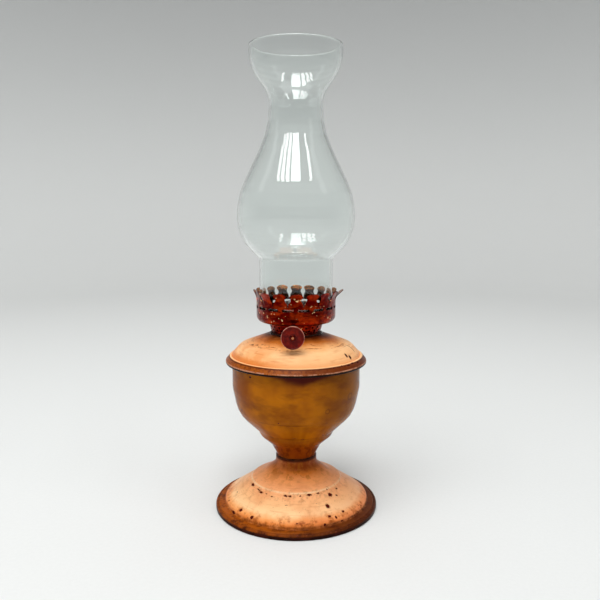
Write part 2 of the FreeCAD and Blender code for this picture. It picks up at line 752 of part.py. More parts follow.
nodes.append(on_shaft(turned_solid("knob_boss", [
    ("shaft_radius", "knob_back - boss_length"),
    ("boss_radius * 0.75", "knob_back - boss_length"),
    ("boss_radius", "knob_back - boss_length / 2"),
    ("boss_radius", "knob_back"),
    ("shaft_radius", "knob_back"),
])))

nodes.append(on_shaft(turned_solid("shaft_gland", [
    ("shaft_radius + running_gap", "gland_start"),
    ("gland_radius", "gland_start"),
    ("gland_radius", "cup_top_radius"),
    ("gland_flange_radius", "cup_top_radius"),
    ("gland_flange_radius", "cup_top_radius + gland_flange"),
    ("gland_radius", "cup_top_radius + gland_flange"),
    ("gland_radius", "gland_end", 0.3),
    ("shaft_radius + running_gap", "gland_end"),
])))

# Each spur wheel is a disc with pointed teeth. The pair is one wheel and its mirror image.
wheel = body_on("spur_wheel")
disc = body_sketch(wheel, "wheel_disc", "XY_Plane")
add_circle(disc, 0, 0, "spur_root")
add_circle(disc, 0, 0, "shaft_radius")
disc_pad = wheel.newObject("PartDesign::Pad", "wheel_pad")
disc_pad.Profile = disc
disc_pad.setExpression("Length", linked("spur_width"))
doc.recompute()
tooth = body_sketch(wheel, "tooth", "XY_Plane")
draw(tooth, [
    ("-0.35 * spur_root", "0.8 * spur_root"),
    ("0.35 * spur_root", "0.8 * spur_root"),
    (0, "spur_radius"),
], closed=True)
tooth_pad = wheel.newObject("PartDesign::Pad", "tooth_pad")
tooth_pad.Profile = tooth
tooth_pad.setExpression("Length", linked("spur_width"))
doc.recompute()
teeth = wheel.newObject("PartDesign::PolarPattern", "teeth")
teeth.Originals = [tooth_pad]
teeth.Axis = (origin_feature(wheel, "Z_Axis"), [""])
teeth.Angle = 360
teeth.Occurrences = SPUR_TEETH
wheel.Tip = teeth
wheel.setExpression("Placement.Base.z", linked("spur_spacing"))
doc.recompute()
mirrored_wheel = doc.addObject("Part::Mirroring", "mirrored_wheel")
mirrored_wheel.Source = wheel
mirrored_wheel.Normal = FreeCAD.Vector(0, 0, 1)
wheels = doc.addObject("Part::Compound", "spur_wheels")
wheels.Links = [wheel, mirrored_wheel]
nodes.append(on_shaft(wheels))

# A U-shaped bracket on the wick tube holds the shaft on both sides of the wheels.
strap_back = "wick_offset - tube_half_depth"
bracket_block = part(
    "Part::Box", "bracket_block",
    Length="bracket_reach + tube_wall",
    Width="2 * bracket_half_span + 2 * tube_wall",
    Height="2 * bracket_half_height",
    Placement__Base__x=f"{strap_back} - tube_wall - bracket_reach",
    Placement__Base__y="-1 * bracket_half_span - tube_wall",
    Placement__Base__z="winder_z - bracket_half_height")
bracket_inside = part(
    "Part::Box", "bracket_inside",
    Length="bracket_reach",
    Width="2 * bracket_half_span",
    Height="2 * bracket_half_height",
    Placement__Base__x=f"{strap_back} - tube_wall - bracket_reach",
    Placement__Base__y="-1 * bracket_half_span",
    Placement__Base__z="winder_z - bracket_half_height")
bracket_window = part(
    "Part::Box", "bracket_window",
    Length="2 * tube_wall",
    Width="2 * (spur_spacing + spur_width + window_play)",
    Height="2 * (spur_radius + window_play)",
    Placement__Base__x=f"{strap_back} - 1.5 * tube_wall",
    Placement__Base__y="-1 * (spur_spacing + spur_width + window_play)",
    Placement__Base__z="winder_z - spur_radius - window_play")
bracket_bore = on_shaft(part("Part::Cylinder", "bracket_bore", Radius="shaft_radius + running_gap"))
bracket_bore.setExpression("Height", linked("4 * bracket_half_span"))
bracket_bore.setExpression("Placement.Base.y", linked("2 * bracket_half_span"))
u_strap = cut("bracket_strap", bracket_block, bracket_inside)
opened_strap = cut("bracket_opened", u_strap, bracket_window)
nodes.append(cut("winder_bracket", opened_strap, bracket_bore))

# ---------------------------------------------------------------- chimney

# The chimney stands on the air plate: a straight fitter, a bulge, a waist and a flared mouth.
nodes.append(turned_sheet("chimney", "glass_wall", [
    ("fitter_radius", "glass_seat_z"),
    ("fitter_radius", "shoulder_z", 0.8),
    ("bulge_radius", "bulge_low_z", "bulge_low_rounding"),
    ("bulge_radius", "bulge_high_z", "bulge_high_rounding"),
    ("waist_radius", "waist_low_z", "waist_low_rounding"),
    ("waist_radius", "waist_high_z", "waist_high_rounding"),
    ("mouth_radius", "mouth_z", "mouth_rounding"),
    ("mouth_radius", "chimney_top_z"),
]))

# ---------------------------------------------------------------- check and export

doc.recompute()
for item in doc.Objects:
    if "Invalid" in item.State or "Error" in item.State:
        raise RuntimeError(f"{item.Name} failed: {item.State}")

os.makedirs("parts", exist_ok=True)
for node in nodes:
    shape = node.Shape
    if shape.isNull() or not shape.isValid() or not shape.Solids:
        raise RuntimeError(f"{node.Name} has no valid solid")
    node.Label = node.Name
    shape.exportStep(f"parts/{node.Label}.step")
    box = shape.BoundBox
    print(f"{node.Label}: {len(shape.Solids)} solid, {shape.Volume:.1f} mm3, "
          f"radius {box.XMax:.2f}, z {box.ZMin:.2f} to {box.ZMax:.2f}")
print(f"{len(nodes)} pieces, height {value('chimney_top_z'):.2f} mm")
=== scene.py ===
# %% [markdown]
# # A flat-wick table lamp
#
# The lamp has a painted tin foot and font, a brass burner with a crown of prongs and a winding knob, and a
# blown glass chimney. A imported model, the frame, holds every piece in its place and says what moves with
# what. This lesson dresses it: it turns, wraps and weaves the pieces that show, and paints them.

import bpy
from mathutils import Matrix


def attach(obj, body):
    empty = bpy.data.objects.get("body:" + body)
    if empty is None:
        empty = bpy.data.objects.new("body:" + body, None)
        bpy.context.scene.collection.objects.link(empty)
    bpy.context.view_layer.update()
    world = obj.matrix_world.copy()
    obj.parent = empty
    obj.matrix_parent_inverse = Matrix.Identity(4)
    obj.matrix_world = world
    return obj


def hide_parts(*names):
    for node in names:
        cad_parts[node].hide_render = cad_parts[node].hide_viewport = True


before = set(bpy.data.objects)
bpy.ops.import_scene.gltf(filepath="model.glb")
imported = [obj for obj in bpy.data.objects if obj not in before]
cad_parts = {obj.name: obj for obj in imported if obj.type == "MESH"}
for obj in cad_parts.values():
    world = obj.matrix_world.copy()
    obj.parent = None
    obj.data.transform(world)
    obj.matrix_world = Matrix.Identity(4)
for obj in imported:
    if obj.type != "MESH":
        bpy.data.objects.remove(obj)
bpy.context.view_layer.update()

# %% [markdown]
# ## Working units
#
# Blender works in metres, a lamp maker in millimetres. The lamp's sizes are written in millimetres and
# multiplied by MM once. The lamp stands on the Z axis, and its front faces -Y.

# %% Units and modules
import math

import bpy
from mathutils import Matrix, Vector

MM = 0.001
FULL_TURN = 2 * math.pi
scene = bpy.context.scene


def placed_object(name, contents):
    """A new object in the scene that holds a mesh, a light or a camera."""
    made = bpy.data.objects.new(name, contents)
    scene.collection.objects.link(made)
    return made


print("one millimetre is", MM, "metres")

# %% [markdown]
# ## The camera
#
# The camera stands a little above the middle of the lamp and looks slightly down, so that the lid shows as
# a wide ellipse and the chimney's mouth as a narrow one.

# %% Camera
CAMERA_PLACE = Vector((2.3, -382.0, 176.3)) * MM
CAMERA_PITCH = math.radians(7.9)
CAMERA_LENS = 40.0
NEAREST_SEEN = 10.0 * MM

camera = placed_object("camera", bpy.data.cameras.new("camera"))
camera.location = CAMERA_PLACE
camera.rotation_euler = (math.pi / 2 - CAMERA_PITCH, 0.0, 0.0)
camera.data.lens = CAMERA_LENS
camera.data.clip_start = NEAREST_SEEN
scene.camera = camera
print("camera", round(CAMERA_PLACE.length, 3), "m from the foot")

# %% [markdown]
# ## Rounded outlines
#
# Sheet metal is bent round small radii, and a corner without one looks like paper. An outline here is a
# list of corners: distance from the axis, height, and the rounding of the bend. By itself, a Bevel modifier
# would round all corners alike. Here each has its own, and becomes a short arc. Long runs are cut into
# steps, so that later waves can bend them.

# %% Outline of corners with roundings
ARC_STEP = math.radians(12)
ALMOST_STRAIGHT = math.radians(89.5)
LONGEST_TRIM = 0.98


def bend(before, corner, after, rounding):
    """The points of one corner: the corner itself, or the arc that rounds it."""
    back = before - corner
    ahead = after - corner
    if rounding <= 0 or back.angle(ahead) / 2 > ALMOST_STRAIGHT:
        return [corner]
    half = back.angle(ahead) / 2
    trim = min(rounding / math.tan(half), min(back.length, ahead.length) * LONGEST_TRIM)
    back.normalize()
    ahead.normalize()
    centre = corner + (back + ahead).normalized() * (trim / math.cos(half))
    start = corner + back * trim - centre
    end = corner + ahead * trim - centre
    sweep = start.angle_signed(end)
    count = max(2, math.ceil(abs(sweep) / ARC_STEP))
    return [centre + Matrix.Rotation(-sweep * step / count, 2) @ start for step in range(count + 1)]


def rounded(corners, closed=True, step=1.5):
    """Points in metres of an outline in millimetres, with its bends as arcs and its runs cut into steps."""
    places = [Vector(corner[:2]) for corner in corners]
    count = len(corners)
    bent = []
    for index, corner in enumerate(corners):
        at_end = not closed and index in (0, count - 1)
        rounding = 0.0 if at_end or len(corner) < 3 else corner[2]
        bent += bend(places[index - 1], places[index], places[(index + 1) % count], rounding)
    points = []
    for here, there in zip(bent, bent[1:] + bent[:1]):
        cuts = max(1, math.ceil((there - here).length / step))
        points += [here.lerp(there, cut / cuts) for cut in range(cuts)]
    if not closed:
        points = points[:points.index(bent[-1]) + 1]
    return [point * MM for point in points]


print("a rounded square has", len(rounded([(0, 0, 1), (9, 0, 1), (9, 9, 1), (0, 9, 1)])), "points")

# %% [markdown]
# ## A wall for an outline
#
# A pressed or blown shell has two faces that stay one wall apart. The second is found by moving each run to
# its left until it meets its neighbour again. A bend's radius there is one wall smaller or larger, as on a
# sheet that is bent round a former. A Solidify modifier could thicken the finished shell, but an outline
# that has its wall can also have round rims.

# %% Outline with a wall
SMALLEST_ROUNDING = 0.05


def walled(corners, wall):
    """A closed outline: the drawn face, then the other face, one wall to its left, drawn backwards."""
    places = [Vector(corner[:2]) for corner in corners]
    runs = [(after - before).normalized() for before, after in zip(places, places[1:])]
    inner = []
    for index, corner in enumerate(corners):
        arriving = runs[max(index - 1, 0)]
        leaving = runs[min(index, len(runs) - 1)]
        left_in = Vector((-arriving.y, arriving.x))
        left_out = Vector((-leaving.y, leaving.x))
        moved = places[index] + (left_in + left_out) * (wall / (1 + left_in.dot(left_out)))
        rounding = corner[2] if len(corner) > 2 else 0.0
        turns_left = arriving.x * leaving.y - arriving.y * leaving.x > 0
        if rounding > 0:
            rounding = max(rounding - wall, SMALLEST_ROUNDING) if turns_left else rounding + wall
        inner.append((moved.x, moved.y, rounding))
    return list(corners) + inner[::-1]


print("a walled angle has", len(walled([(9, 0), (9, 9, 1), (0, 9)], 0.5)), "corners")

# %% [markdown]
# ## Node trees in plain words
#
# Geometry and materials are both built from nodes. A signal is what runs out of one node and into the
# next. Here it adds and multiplies like a plain number, and each such sum puts one more node in the tree.
# So a recipe below reads like a formula, and Blender still gets its nodes.

# %% Signals and nodes


def fill(node, sockets):
    """Give a node's inputs a number, a vector, a colour, or the signal that runs into them."""
    for name, source in sockets.items():
        if isinstance(source, Signal):
            node.id_data.links.new(source.socket, node.inputs[name])
        else:
            node.inputs[name].default_value = source


def add(tree, kind, sockets=None, **settings):
    """Add a node, with its settings and its inputs."""
    made = tree.nodes.new(kind)
    for name, setting in settings.items():
        setattr(made, name, setting)
    fill(made, sockets or {})
    return made


def put(tree, kind, sockets=None, output=0, **settings):
    """Add a node and return one of its outputs as a signal."""
    return Signal(add(tree, kind, sockets, **settings).outputs[output])


def sum_of(operation, swapped=False):
    """A method that does one sum with a signal and numbers or other signals."""
    def work_out(self, *others):
        values = (*others, self) if swapped else (self, *others)
        return put(self.tree, "ShaderNodeMath", dict(enumerate(values)), operation=operation)
    return work_out


class Signal:
    """What runs out of a node."""

    def __init__(self, socket):
        self.socket = socket
        self.tree = socket.id_data

    __add__ = sum_of("ADD")
    __sub__ = sum_of("SUBTRACT")
    __rsub__ = sum_of("SUBTRACT", swapped=True)
    __mul__ = sum_of("MULTIPLY")
    __truediv__ = sum_of("DIVIDE")
    __mod__ = sum_of("FLOORED_MODULO")
    __pow__ = sum_of("POWER")
    __abs__ = sum_of("ABSOLUTE")
    __floor__ = sum_of("FLOOR")
    __round__ = sum_of("ROUND")
    lesser = sum_of("MINIMUM")
    greater = sum_of("MAXIMUM")
    sine = sum_of("SINE")
    cosine = sum_of("COSINE")
    angle_from = sum_of("ARCTAN2")
    equals = sum_of("COMPARE")

    def vector(self, operation, *others, output="Vector", **sockets):
        """A sum with vectors. The output Value is the number that a length or a dot product gives."""
        inputs = dict(enumerate((self, *others))) | sockets
        return put(self.tree, "ShaderNodeVectorMath", inputs, output, operation=operation)

    def part(self, axis):
        """One part of a vector: X, Y or Z."""
        return put(self.tree, "ShaderNodeSeparateXYZ", {0: self}, axis)

    def off_axis(self):
        """A place's distance from the Z axis."""
        return self.vector("MULTIPLY", (1.0, 1.0, 0.0)).vector("LENGTH", output="Value")

    def step(self, low, high):
        """A soft step up: 0 below low, 1 above high."""
        return put(self.tree, "ShaderNodeMapRange", {
            "Value": self, "From Min": low, "From Max": high}, interpolation_type="SMOOTHSTEP")

    def fade(self, low, high):
        """A soft step down: 1 below low, 0 above high."""
        return 1.0 - self.step(low, high)

    def between(self, low, high):
        """Low where the signal is 0, high where it is 1."""
        return self * (high - low) + low


print("signals ready")

# %% [markdown]
# ## Starting and ending a tree
#
# One tree can make many pieces if its sizes are inputs, so each tree starts with a list of them, by name. It
# ends the same way each time: faces are smoothed, instances are made real, because an export drops them
# otherwise, and the finish is laid on.

# %% First and last nodes of a tree


def new_tree(name, inputs):
    """A Geometry Nodes tree with named inputs. Returns the tree and a signal for each input."""
    tree = bpy.data.node_groups.new(name, "GeometryNodeTree")
    for socket_name, kind in inputs.items():
        tree.interface.new_socket(socket_name, in_out="INPUT", socket_type="NodeSocket" + kind)
    tree.interface.new_socket("Piece", in_out="OUTPUT", socket_type="NodeSocketGeometry")
    given = add(tree, "NodeGroupInput")
    return tree, {socket_name: Signal(given.outputs[socket_name]) for socket_name in inputs}


def ended(tree, shape, finish):
    """End a tree: smooth shading, instances made real, and the finish on every face."""
    smooth = put(tree, "GeometryNodeSetShadeSmooth", {"Geometry": shape})
    real = put(tree, "GeometryNodeRealizeInstances", {"Geometry": smooth})
    covered = put(tree, "GeometryNodeSetMaterial", {"Geometry": real, "Material": finish})
    add(tree, "NodeGroupOutput", {"Piece": covered})
    return tree


print("trees start with their inputs and end with a finish")

# %% [markdown]
# ## Turning on the axis
#
# Nearly every piece of a lamp is round: tin is spun, brass is turned, glass is blown while it turns. A
# Screw modifier could do it, but a small tree can also add the slight waviness that hand work leaves. A flat
# grid has one column of points for each point of the outline. Each grid point takes the place of its outline
# point, turned round Z by its row.

# %% The turning tree
SAME_POINT = 1e-6


def turning_tree():
    tree, given = new_tree("turned_on_the_axis", {
        "Outline": "Geometry", "Turns": "Int", "Waviness": "Float", "Waves Per Metre": "Float",
        "Finish": "Material"})
    outline = given["Outline"]
    count = put(tree, "GeometryNodeAttributeDomainSize", {"Geometry": outline}, "Point Count")
    grid = put(tree, "GeometryNodeMeshGrid", {
        "Size X": 1.0, "Size Y": 1.0, "Vertices X": count + 1.0, "Vertices Y": given["Turns"] + 1.0}, "Mesh")
    here = put(tree, "GeometryNodeInputPosition")
    column = round((here.part("X") + 0.5) * count)
    angle = (here.part("Y") + 0.5) * FULL_TURN
    drawn = put(tree, "GeometryNodeSampleIndex", {
        "Geometry": outline, "Value": here, "Index": column % count}, "Value",
        data_type="FLOAT_VECTOR", domain="POINT")
    place = put(tree, "ShaderNodeVectorRotate", {
        "Vector": drawn, "Axis": (0.0, 0.0, 1.0), "Angle": angle}, rotation_type="AXIS_ANGLE")
    noise = put(tree, "ShaderNodeTexNoise", {
        "Vector": place, "Scale": given["Waves Per Metre"], "Detail": 1.0})
    outward = place.vector("MULTIPLY", (1.0, 1.0, 0.0)).vector("NORMALIZE")
    wave = outward.vector("SCALE", Scale=(noise - 0.5) * given["Waviness"])
    placed = put(tree, "GeometryNodeSetPosition", {"Geometry": grid, "Position": place, "Offset": wave})
    welded = put(tree, "GeometryNodeMergeByDistance", {"Geometry": placed, "Distance": SAME_POINT})
    outside_out = put(tree, "GeometryNodeFlipFaces", {"Mesh": welded})
    return ended(tree, outside_out, given["Finish"])


TURNING = turning_tree()
print("turning tree:", len(TURNING.nodes), "nodes")

# %% [markdown]
# ## From a tree to a plain mesh
#
# A tree is only a recipe, and the piece that is kept is a plain mesh. The modifier's inputs are set by their
# identifiers, because their names are only labels. Then Blender evaluates the object once, and the result
# is copied out. Edges that turn sharply are marked, so that smooth shading stops there.

# %% Bake a tree into a mesh
SHARP_EDGE = math.radians(38)


def plain_mesh(name, points, edges, faces):
    """An object from points in metres, with edges or faces as indices."""
    mesh = bpy.data.meshes.new(name)
    mesh.from_pydata(points, edges, faces)
    return placed_object(name, mesh)


def outline_mesh(name, points, closed):
    """An object whose mesh is only the outline: points and the edges between them, in the XZ plane."""
    last = len(points) if closed else len(points) - 1
    edges = [(index, (index + 1) % len(points)) for index in range(last)]
    return plain_mesh(name, [(point.x, 0.0, point.y) for point in points], edges, [])


def baked(name, holder, tree, inputs, wall=0.0):
    """Run a tree on an object and keep the result as a new plain mesh object. The holder is removed."""
    recipe = holder.modifiers.new("recipe", "NODES")
    recipe.node_group = tree
    for socket in tree.interface.items_tree:
        if socket.in_out == "INPUT" and socket.name in inputs:
            recipe[socket.identifier] = inputs[socket.name]
    if wall:
        thickness = holder.modifiers.new("thickness", "SOLIDIFY")
        thickness.thickness = wall * MM
        thickness.offset = -1.0
        thickness.use_even_offset = True
    depsgraph = bpy.context.evaluated_depsgraph_get()
    mesh = bpy.data.meshes.new_from_object(holder.evaluated_get(depsgraph))
    bpy.data.objects.remove(holder)
    mesh.name = name
    mesh.materials.clear()
    mesh.materials.append(inputs["Finish"])
    mesh.set_sharp_from_angle(angle=SHARP_EDGE)
    print(name, "has", len(mesh.polygons), "faces")
    return placed_object(name, mesh)


def turned(name, corners, finish, wall=0.0, turns=192, waviness=0.0, waves=25.0, step=1.5):
    """A round piece from an outline of corners, with a wall or as a closed outline."""
    points = rounded(walled(corners, wall) if wall else corners, step=step)
    return baked(name, outline_mesh(name + "_outline", points, closed=True), TURNING, {
        "Turns": turns, "Waviness": waviness * MM, "Waves Per Metre": waves, "Finish": finish})


def kept(piece, body, node):
    """Hang a piece on the body it rides on, and hide the node that it stands for."""
    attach(piece, body)
    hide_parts(node)


print("sharp edges from", round(math.degrees(SHARP_EDGE)), "degrees")

# %% [markdown]
# ## Finishes: the common steps
#
# Old enamel, aged brass and blown glass each get a node material. Images could carry them, but they would
# need unwrapping and blur close up. So every finish starts from the place on the piece in millimetres, and
# from clouds and streaks of a given size. Colours are written as a paint chart gives them, from 0 to 255,
# and made linear for the shader.

# %% Colours, clouds and streaks
BRUSHED_RADIUS = 40.0


def linear(colour):
    """A paint chart's red, green and blue as the shader's linear colour. A signal stays as it is."""
    if isinstance(colour, Signal):
        return colour
    levels = [level / 255 for level in colour]
    levels = [level / 12.92 if level <= 0.04045 else ((level + 0.055) / 1.055) ** 2.4 for level in levels]
    return (*levels, 1.0)


def new_finish(name):
    """A new material and the place on the piece in millimetres."""
    finish = bpy.data.materials.new(name + "_finish")
    finish.use_nodes = True
    place = put(finish.node_tree, "ShaderNodeTexCoord", output="Object")
    return finish, place.vector("SCALE", Scale=1 / MM)


def cloud(place, size, detail=3.0, roughness=0.55, stretch=(1.0, 1.0, 1.0)):
    """Noise with lumps of a size in millimetres, between 0 and 1. Stretch thins it along an axis."""
    scaled = put(place.tree, "ShaderNodeMapping", {"Vector": place, "Scale": stretch})
    return put(place.tree, "ShaderNodeTexNoise", {
        "Vector": scaled, "Scale": 1 / size, "Detail": detail, "Roughness": roughness})


def streaks(place, width, length):
    """Noise drawn out round the axis, as a brush leaves it: the width and the length of one streak."""
    turned_by = place.part("X").angle_from(place.part("Y"))
    reach = BRUSHED_RADIUS / length
    lane = put(place.tree, "ShaderNodeCombineXYZ", {
        "X": (place.part("Z") - place.off_axis()) * (1 / width),
        "Y": turned_by.cosine() * reach, "Z": turned_by.sine() * reach})
    return put(place.tree, "ShaderNodeTexNoise", {
        "Vector": lane, "Scale": 1.0, "Detail": 3.0, "Roughness": 0.6})


print("white is", linear((255, 255, 255)))

# %% [markdown]
# ## Coats over coats
#
# Paint, dirt and rust came one over another, and a finish is mixed in that order too. Each coat says where
# it lies, how thickly and in which colour, and the last one is on top. A bump node then raises or sinks
# what is too shallow to model.

# %% Coats and their surface


def blend(share, below, above):
    """A colour between two colours."""
    return put(share.tree, "ShaderNodeMix", {0: share, 6: linear(below), 7: linear(above)}, 2,
               data_type="RGBA", clamp_factor=True)


def coated(colour, *coats):
    """Lay coats over a colour. Each says where it lies, how thickly from 0 to 1, and in which colour."""
    for where, thickness, coat in coats:
        colour = blend(where * thickness, colour, coat)
    return colour


def rings(amount, stops):
    """A colour that changes with a number: a list of (number, colour), rising."""
    low = stops[0][0]
    high = stops[-1][0]
    share = put(amount.tree, "ShaderNodeMapRange", {"Value": amount, "From Min": low, "From Max": high})
    ramp = add(amount.tree, "ShaderNodeValToRGB", {0: share})
    points = ramp.color_ramp.elements
    while len(points) < len(stops):
        points.new(0.5)
    for point, (number, _) in zip(points, stops):
        point.position = (number - low) / (high - low)
    for point, (_, colour) in zip(points, stops):
        point.color = linear(colour)
    return Signal(ramp.outputs["Color"])


def surfaced(finish, colour, roughness, relief, depth, gloss=0.5, metal=0.0):
    """End a finish. The relief is a signal that is bumped by a depth in millimetres."""
    bump = put(finish.node_tree, "ShaderNodeBump", {"Height": relief, "Distance": depth * MM})
    fill(finish.node_tree.nodes["Principled BSDF"], {
        "Base Color": colour, "Roughness": roughness, "Specular IOR Level": gloss, "Metallic": metal,
        "Normal": bump})
    return finish


print("coats are laid from the lowest to the highest")

# %% [markdown]
# ## Chips in the enamel
#
# Enamel on tin breaks off in small flakes and shows the rusty iron. Noise alone could scatter them, but real
# chips gather where the lamp was knocked, so each is listed: degrees round from the front, height, its own
# width and its own height. The tree measures how far a point is from the nearest flake's middle, in flake
# sizes. Under 1 the enamel is gone. Noise only makes the edges ragged.

# %% Placed flakes
RAGGED_SCALE = 0.9


def radius_at(corners, height):
    """The outline's distance from the axis at a height, in millimetres."""
    for (across, up, *_), (next_across, next_up, *_) in zip(corners, corners[1:]):
        if up <= height <= next_up and next_up > up:
            return across + (next_across - across) * (height - up) / (next_up - up)
    return corners[-1][0]


def flaked(place, corners, flakes, raggedness=0.9):
    """How far the nearest flake is, in flake sizes."""
    tree = place.tree
    ragged = put(tree, "ShaderNodeTexNoise", {
        "Vector": place, "Scale": RAGGED_SCALE, "Detail": 2.0}, "Color")
    shift = ragged.vector("SUBTRACT", (0.5, 0.5, 0.5)).vector("SCALE", Scale=raggedness)
    shaken = place.vector("ADD", shift)
    nearest = None
    for degrees, height, wide, high in flakes:
        angle = math.radians(degrees)
        radius = radius_at(corners, height)
        local = put(tree, "ShaderNodeMapping", {
            "Vector": shaken, "Location": (radius * math.sin(angle), -radius * math.cos(angle), height),
            "Rotation": (0.0, 0.0, angle), "Scale": (wide / 2, high / 2, high / 2)}, vector_type="TEXTURE")
        far = local.vector("LENGTH", output="Value")
        nearest = nearest.lesser(far) if nearest else far
    return nearest


print("flakes are placed by degrees and height")

# %% [markdown]
# ## The foot
#
# The foot is one tin pressing. A nearly flat brown band runs round its edge, a steep step lifts a cream
# cone out of it, and a pressed crease and a flare lead up to the neck. It could be pulled out of a cylinder
# by hand, but a list of corners says every radius and height in one place, where it can be changed.

# %% Foot outline
TIN = 0.5
FOOT = [
    (47.25, 1.15), (46.2, 1.15, 0.3), (46.2, 3.45, 0.6), (42.4, 3.6, 0.8), (42.2, 6.2, 2.5),
    (27.3, 16.3, 1.0), (26.2, 17.6, 0.7), (20.6, 19.8, 4.0), (12.0, 26.2, 4.5), (12.0, 30.8, 0.2)]
print("foot outline:", len(rounded(walled(FOOT, TIN))), "points")

# %% [markdown]
# ## The foot's enamel
#
# The cream is sprayed: it turns tan above the crease, golden brown in the neck and ochre over the step. The
# distance from the axis alone could colour such rings, but a little noise on it lets them wander, as spray
# does. The coats are a painted highlight along the crease, runs down from the neck, dust, blotches, brush
# marks, a darker, pinker right side that is painted shade, smudges, the fringe of the brown band, the band
# with its grime and painted shade on its right side, the burnt end of the neck, specks, rust and bare iron.

# %% Foot enamel
FOOT_FLAKES = [
    (-66, 16.1, 3.4, 1.6), (-50, 15.9, 3.0, 0.8), (-44, 15.4, 2.6, 1.5), (-36, 15.6, 1.0, 0.7),
    (-28, 15.3, 1.2, 0.8), (-12, 16.1, 2.0, 1.5), (-7, 16.1, 2.0, 1.3), (5, 16.2, 1.2, 0.9),
    (16, 16.4, 2.8, 1.2), (27, 16.5, 1.8, 0.9), (41, 17.0, 0.8, 1.0), (41, 14.8, 2.4, 2.6),
    (56, 15.7, 1.2, 1.0), (48, 13.7, 1.5, 1.0), (31, 11.4, 2.2, 2.8), (28, 8.0, 1.6, 1.3),
    (33, 7.1, 1.2, 1.8), (42, 8.1, 1.7, 1.4), (37, 4.9, 1.6, 0.8), (22, 5.1, 1.6, 1.2),
    (-36, 6.7, 2.0, 2.0), (-50, 7.3, 2.2, 2.0), (-72, 7.0, 1.0, 1.2), (-75, 10.5, 0.8, 0.8),
    (-57, 4.6, 3.4, 1.8), (1, 6.9, 0.9, 0.6), (56, 5.4, 1.2, 0.8), (-9, 13.0, 1.6, 0.4)]
CREASE_RADIUS = 26.4
BAND_TOP = 5.9

CREAM = (248, 190, 134)
IRON = (78, 18, 8)


def foot_enamel():
    finish, place = new_finish("foot_enamel")
    across = place.off_axis()
    height = place.part("Z")
    right = place.part("X")
    patches = cloud(place, 14, detail=4)
    fine = cloud(place, 2.2, detail=4, roughness=0.65)
    brushed = streaks(place, 1.6, 16.0)
    runs = cloud(place, 4.0, stretch=(1.0, 1.0, 0.25))
    wear_and_sheen = cloud(place, 4.5, detail=5, roughness=0.65)
    grime = cloud(place, 6.0, detail=5, roughness=0.7)
    specks = cloud(place, 0.8, detail=2)
    sprayed = rings(across + (patches - 0.5) * 5.0 + (fine - 0.5) * 2.2, [
        (12.0, (140, 62, 12)), (14.5, (214, 120, 46)), (18.5, (244, 158, 92)),
        (25.0, (250, 174, 118)), (33.0, CREAM), (37.6, (252, 204, 150)), (40.2, (242, 164, 98)),
        (42.6, (224, 122, 48))])
    # Painted highlight: a broken bright line along the crease.
    crease = abs(across - CREASE_RADIUS).fade(0.15, 0.6) * patches.step(0.34, 0.52)
    dust = abs(across - CREASE_RADIUS - 1.1).fade(0.5, 5.0) * fine.step(0.50, 0.64)
    fringe = across.step(37.5, 41.8) * wear_and_sheen.step(0.48, 0.66) * patches.between(0.0, 1.5)
    band = (across + fine * 1.6).step(42.5, 43.6) * (BAND_TOP - height).step(0.0, 1.4)
    # The band is darker on the right: painted shade.
    brown = blend(right.step(-30.0, 34.0), (160, 80, 14), (96, 46, 14))
    flake = flaked(place, FOOT, FOOT_FLAKES, raggedness=1.5)
    bare = flake.fade(0.85, 1.05)
    colour = coated(
        sprayed,
        (crease, 0.7, (252, 214, 166)),
        (runs.step(0.48, 0.60) * height.step(17.0, 26.0), 0.7, (166, 90, 20)),
        (dust, 0.45, (168, 118, 78)),
        (patches.step(0.48, 0.70), 0.45, (222, 138, 84)),
        (brushed.step(0.54, 0.72), 0.30, (196, 116, 62)),
        # Painted shade: the right side darker and pinker.
        (right.step(5.0, 45.0), 0.5, (216, 138, 98)),
        (across.step(24.0, 30.0) * wear_and_sheen.step(0.50, 0.68), 0.38, (188, 112, 62)),
        (fringe, 1.0, (146, 70, 22)),
        (band, 1.0, coated(brown, (grime.step(0.42, 0.64), 0.85, (72, 26, 6)))),
        (height.step(29.0, 30.4), 0.85, (58, 16, 4)),
        (specks.step(0.68, 0.74), 0.6, (104, 46, 22)),
        (flake.fade(0.95, 1.5), 0.5, (158, 84, 40)),
        (bare, 1.0, IRON))
    dull = fine.between(0.22, 0.42) + bare * 0.4
    return surfaced(finish, colour, dull, fine * 0.25 - bare, 0.12, gloss=0.06)


foot = turned("foot", FOOT, foot_enamel(), TIN, turns=224, waviness=0.25)
kept(foot, "lamp", "base_shell")

# %% [markdown]
# ## The bottom plate and its rolled seam
#
# The foot is closed by a plate whose edge is rolled up and over the foot's flange. The lamp stands on this
# dark ring. Its lower half is darker, partly as painted shade; its brown upper half is darker on the right
# as painted shade, and a pale line along it is a painted highlight. A torus could pass for the ring, but one
# outline from the plate's middle to the seam's lip leaves no gap, and shows the plate from below.

# %% Bottom plate
PLATE = [
    (0.0, 0.8), (43.7, 0.8, 0.6), (44.5, 0.0, 0.6), (47.88, 0.0, 0.8), (47.88, 3.2, 1.2), (46.35, 3.2)]


def rim_enamel():
    finish, place = new_finish("rim_enamel")
    height = place.part("Z")
    patches = cloud(place, 6, detail=4)
    fine = cloud(place, 1.1, roughness=0.7)
    dark = blend(patches.step(0.35, 0.65), (34, 10, 6), (60, 20, 10))
    brown = blend(place.part("X").step(-30.0, 34.0), (138, 66, 12), (74, 34, 12))
    # Dark below, partly painted shade; brown above, darker on the right as painted shade; the pale line is a
    # painted highlight.
    colour = coated(
        dark,
        ((height + fine).step(2.2, 3.1), 1.0, blend(patches.step(0.40, 0.64), brown, (70, 28, 8))),
        (fine.step(0.56, 0.70) * height.step(1.8, 2.8), 0.5, (150, 78, 62)))
    return surfaced(finish, colour, fine.between(0.2, 0.5), fine, 0.1, gloss=0.04)


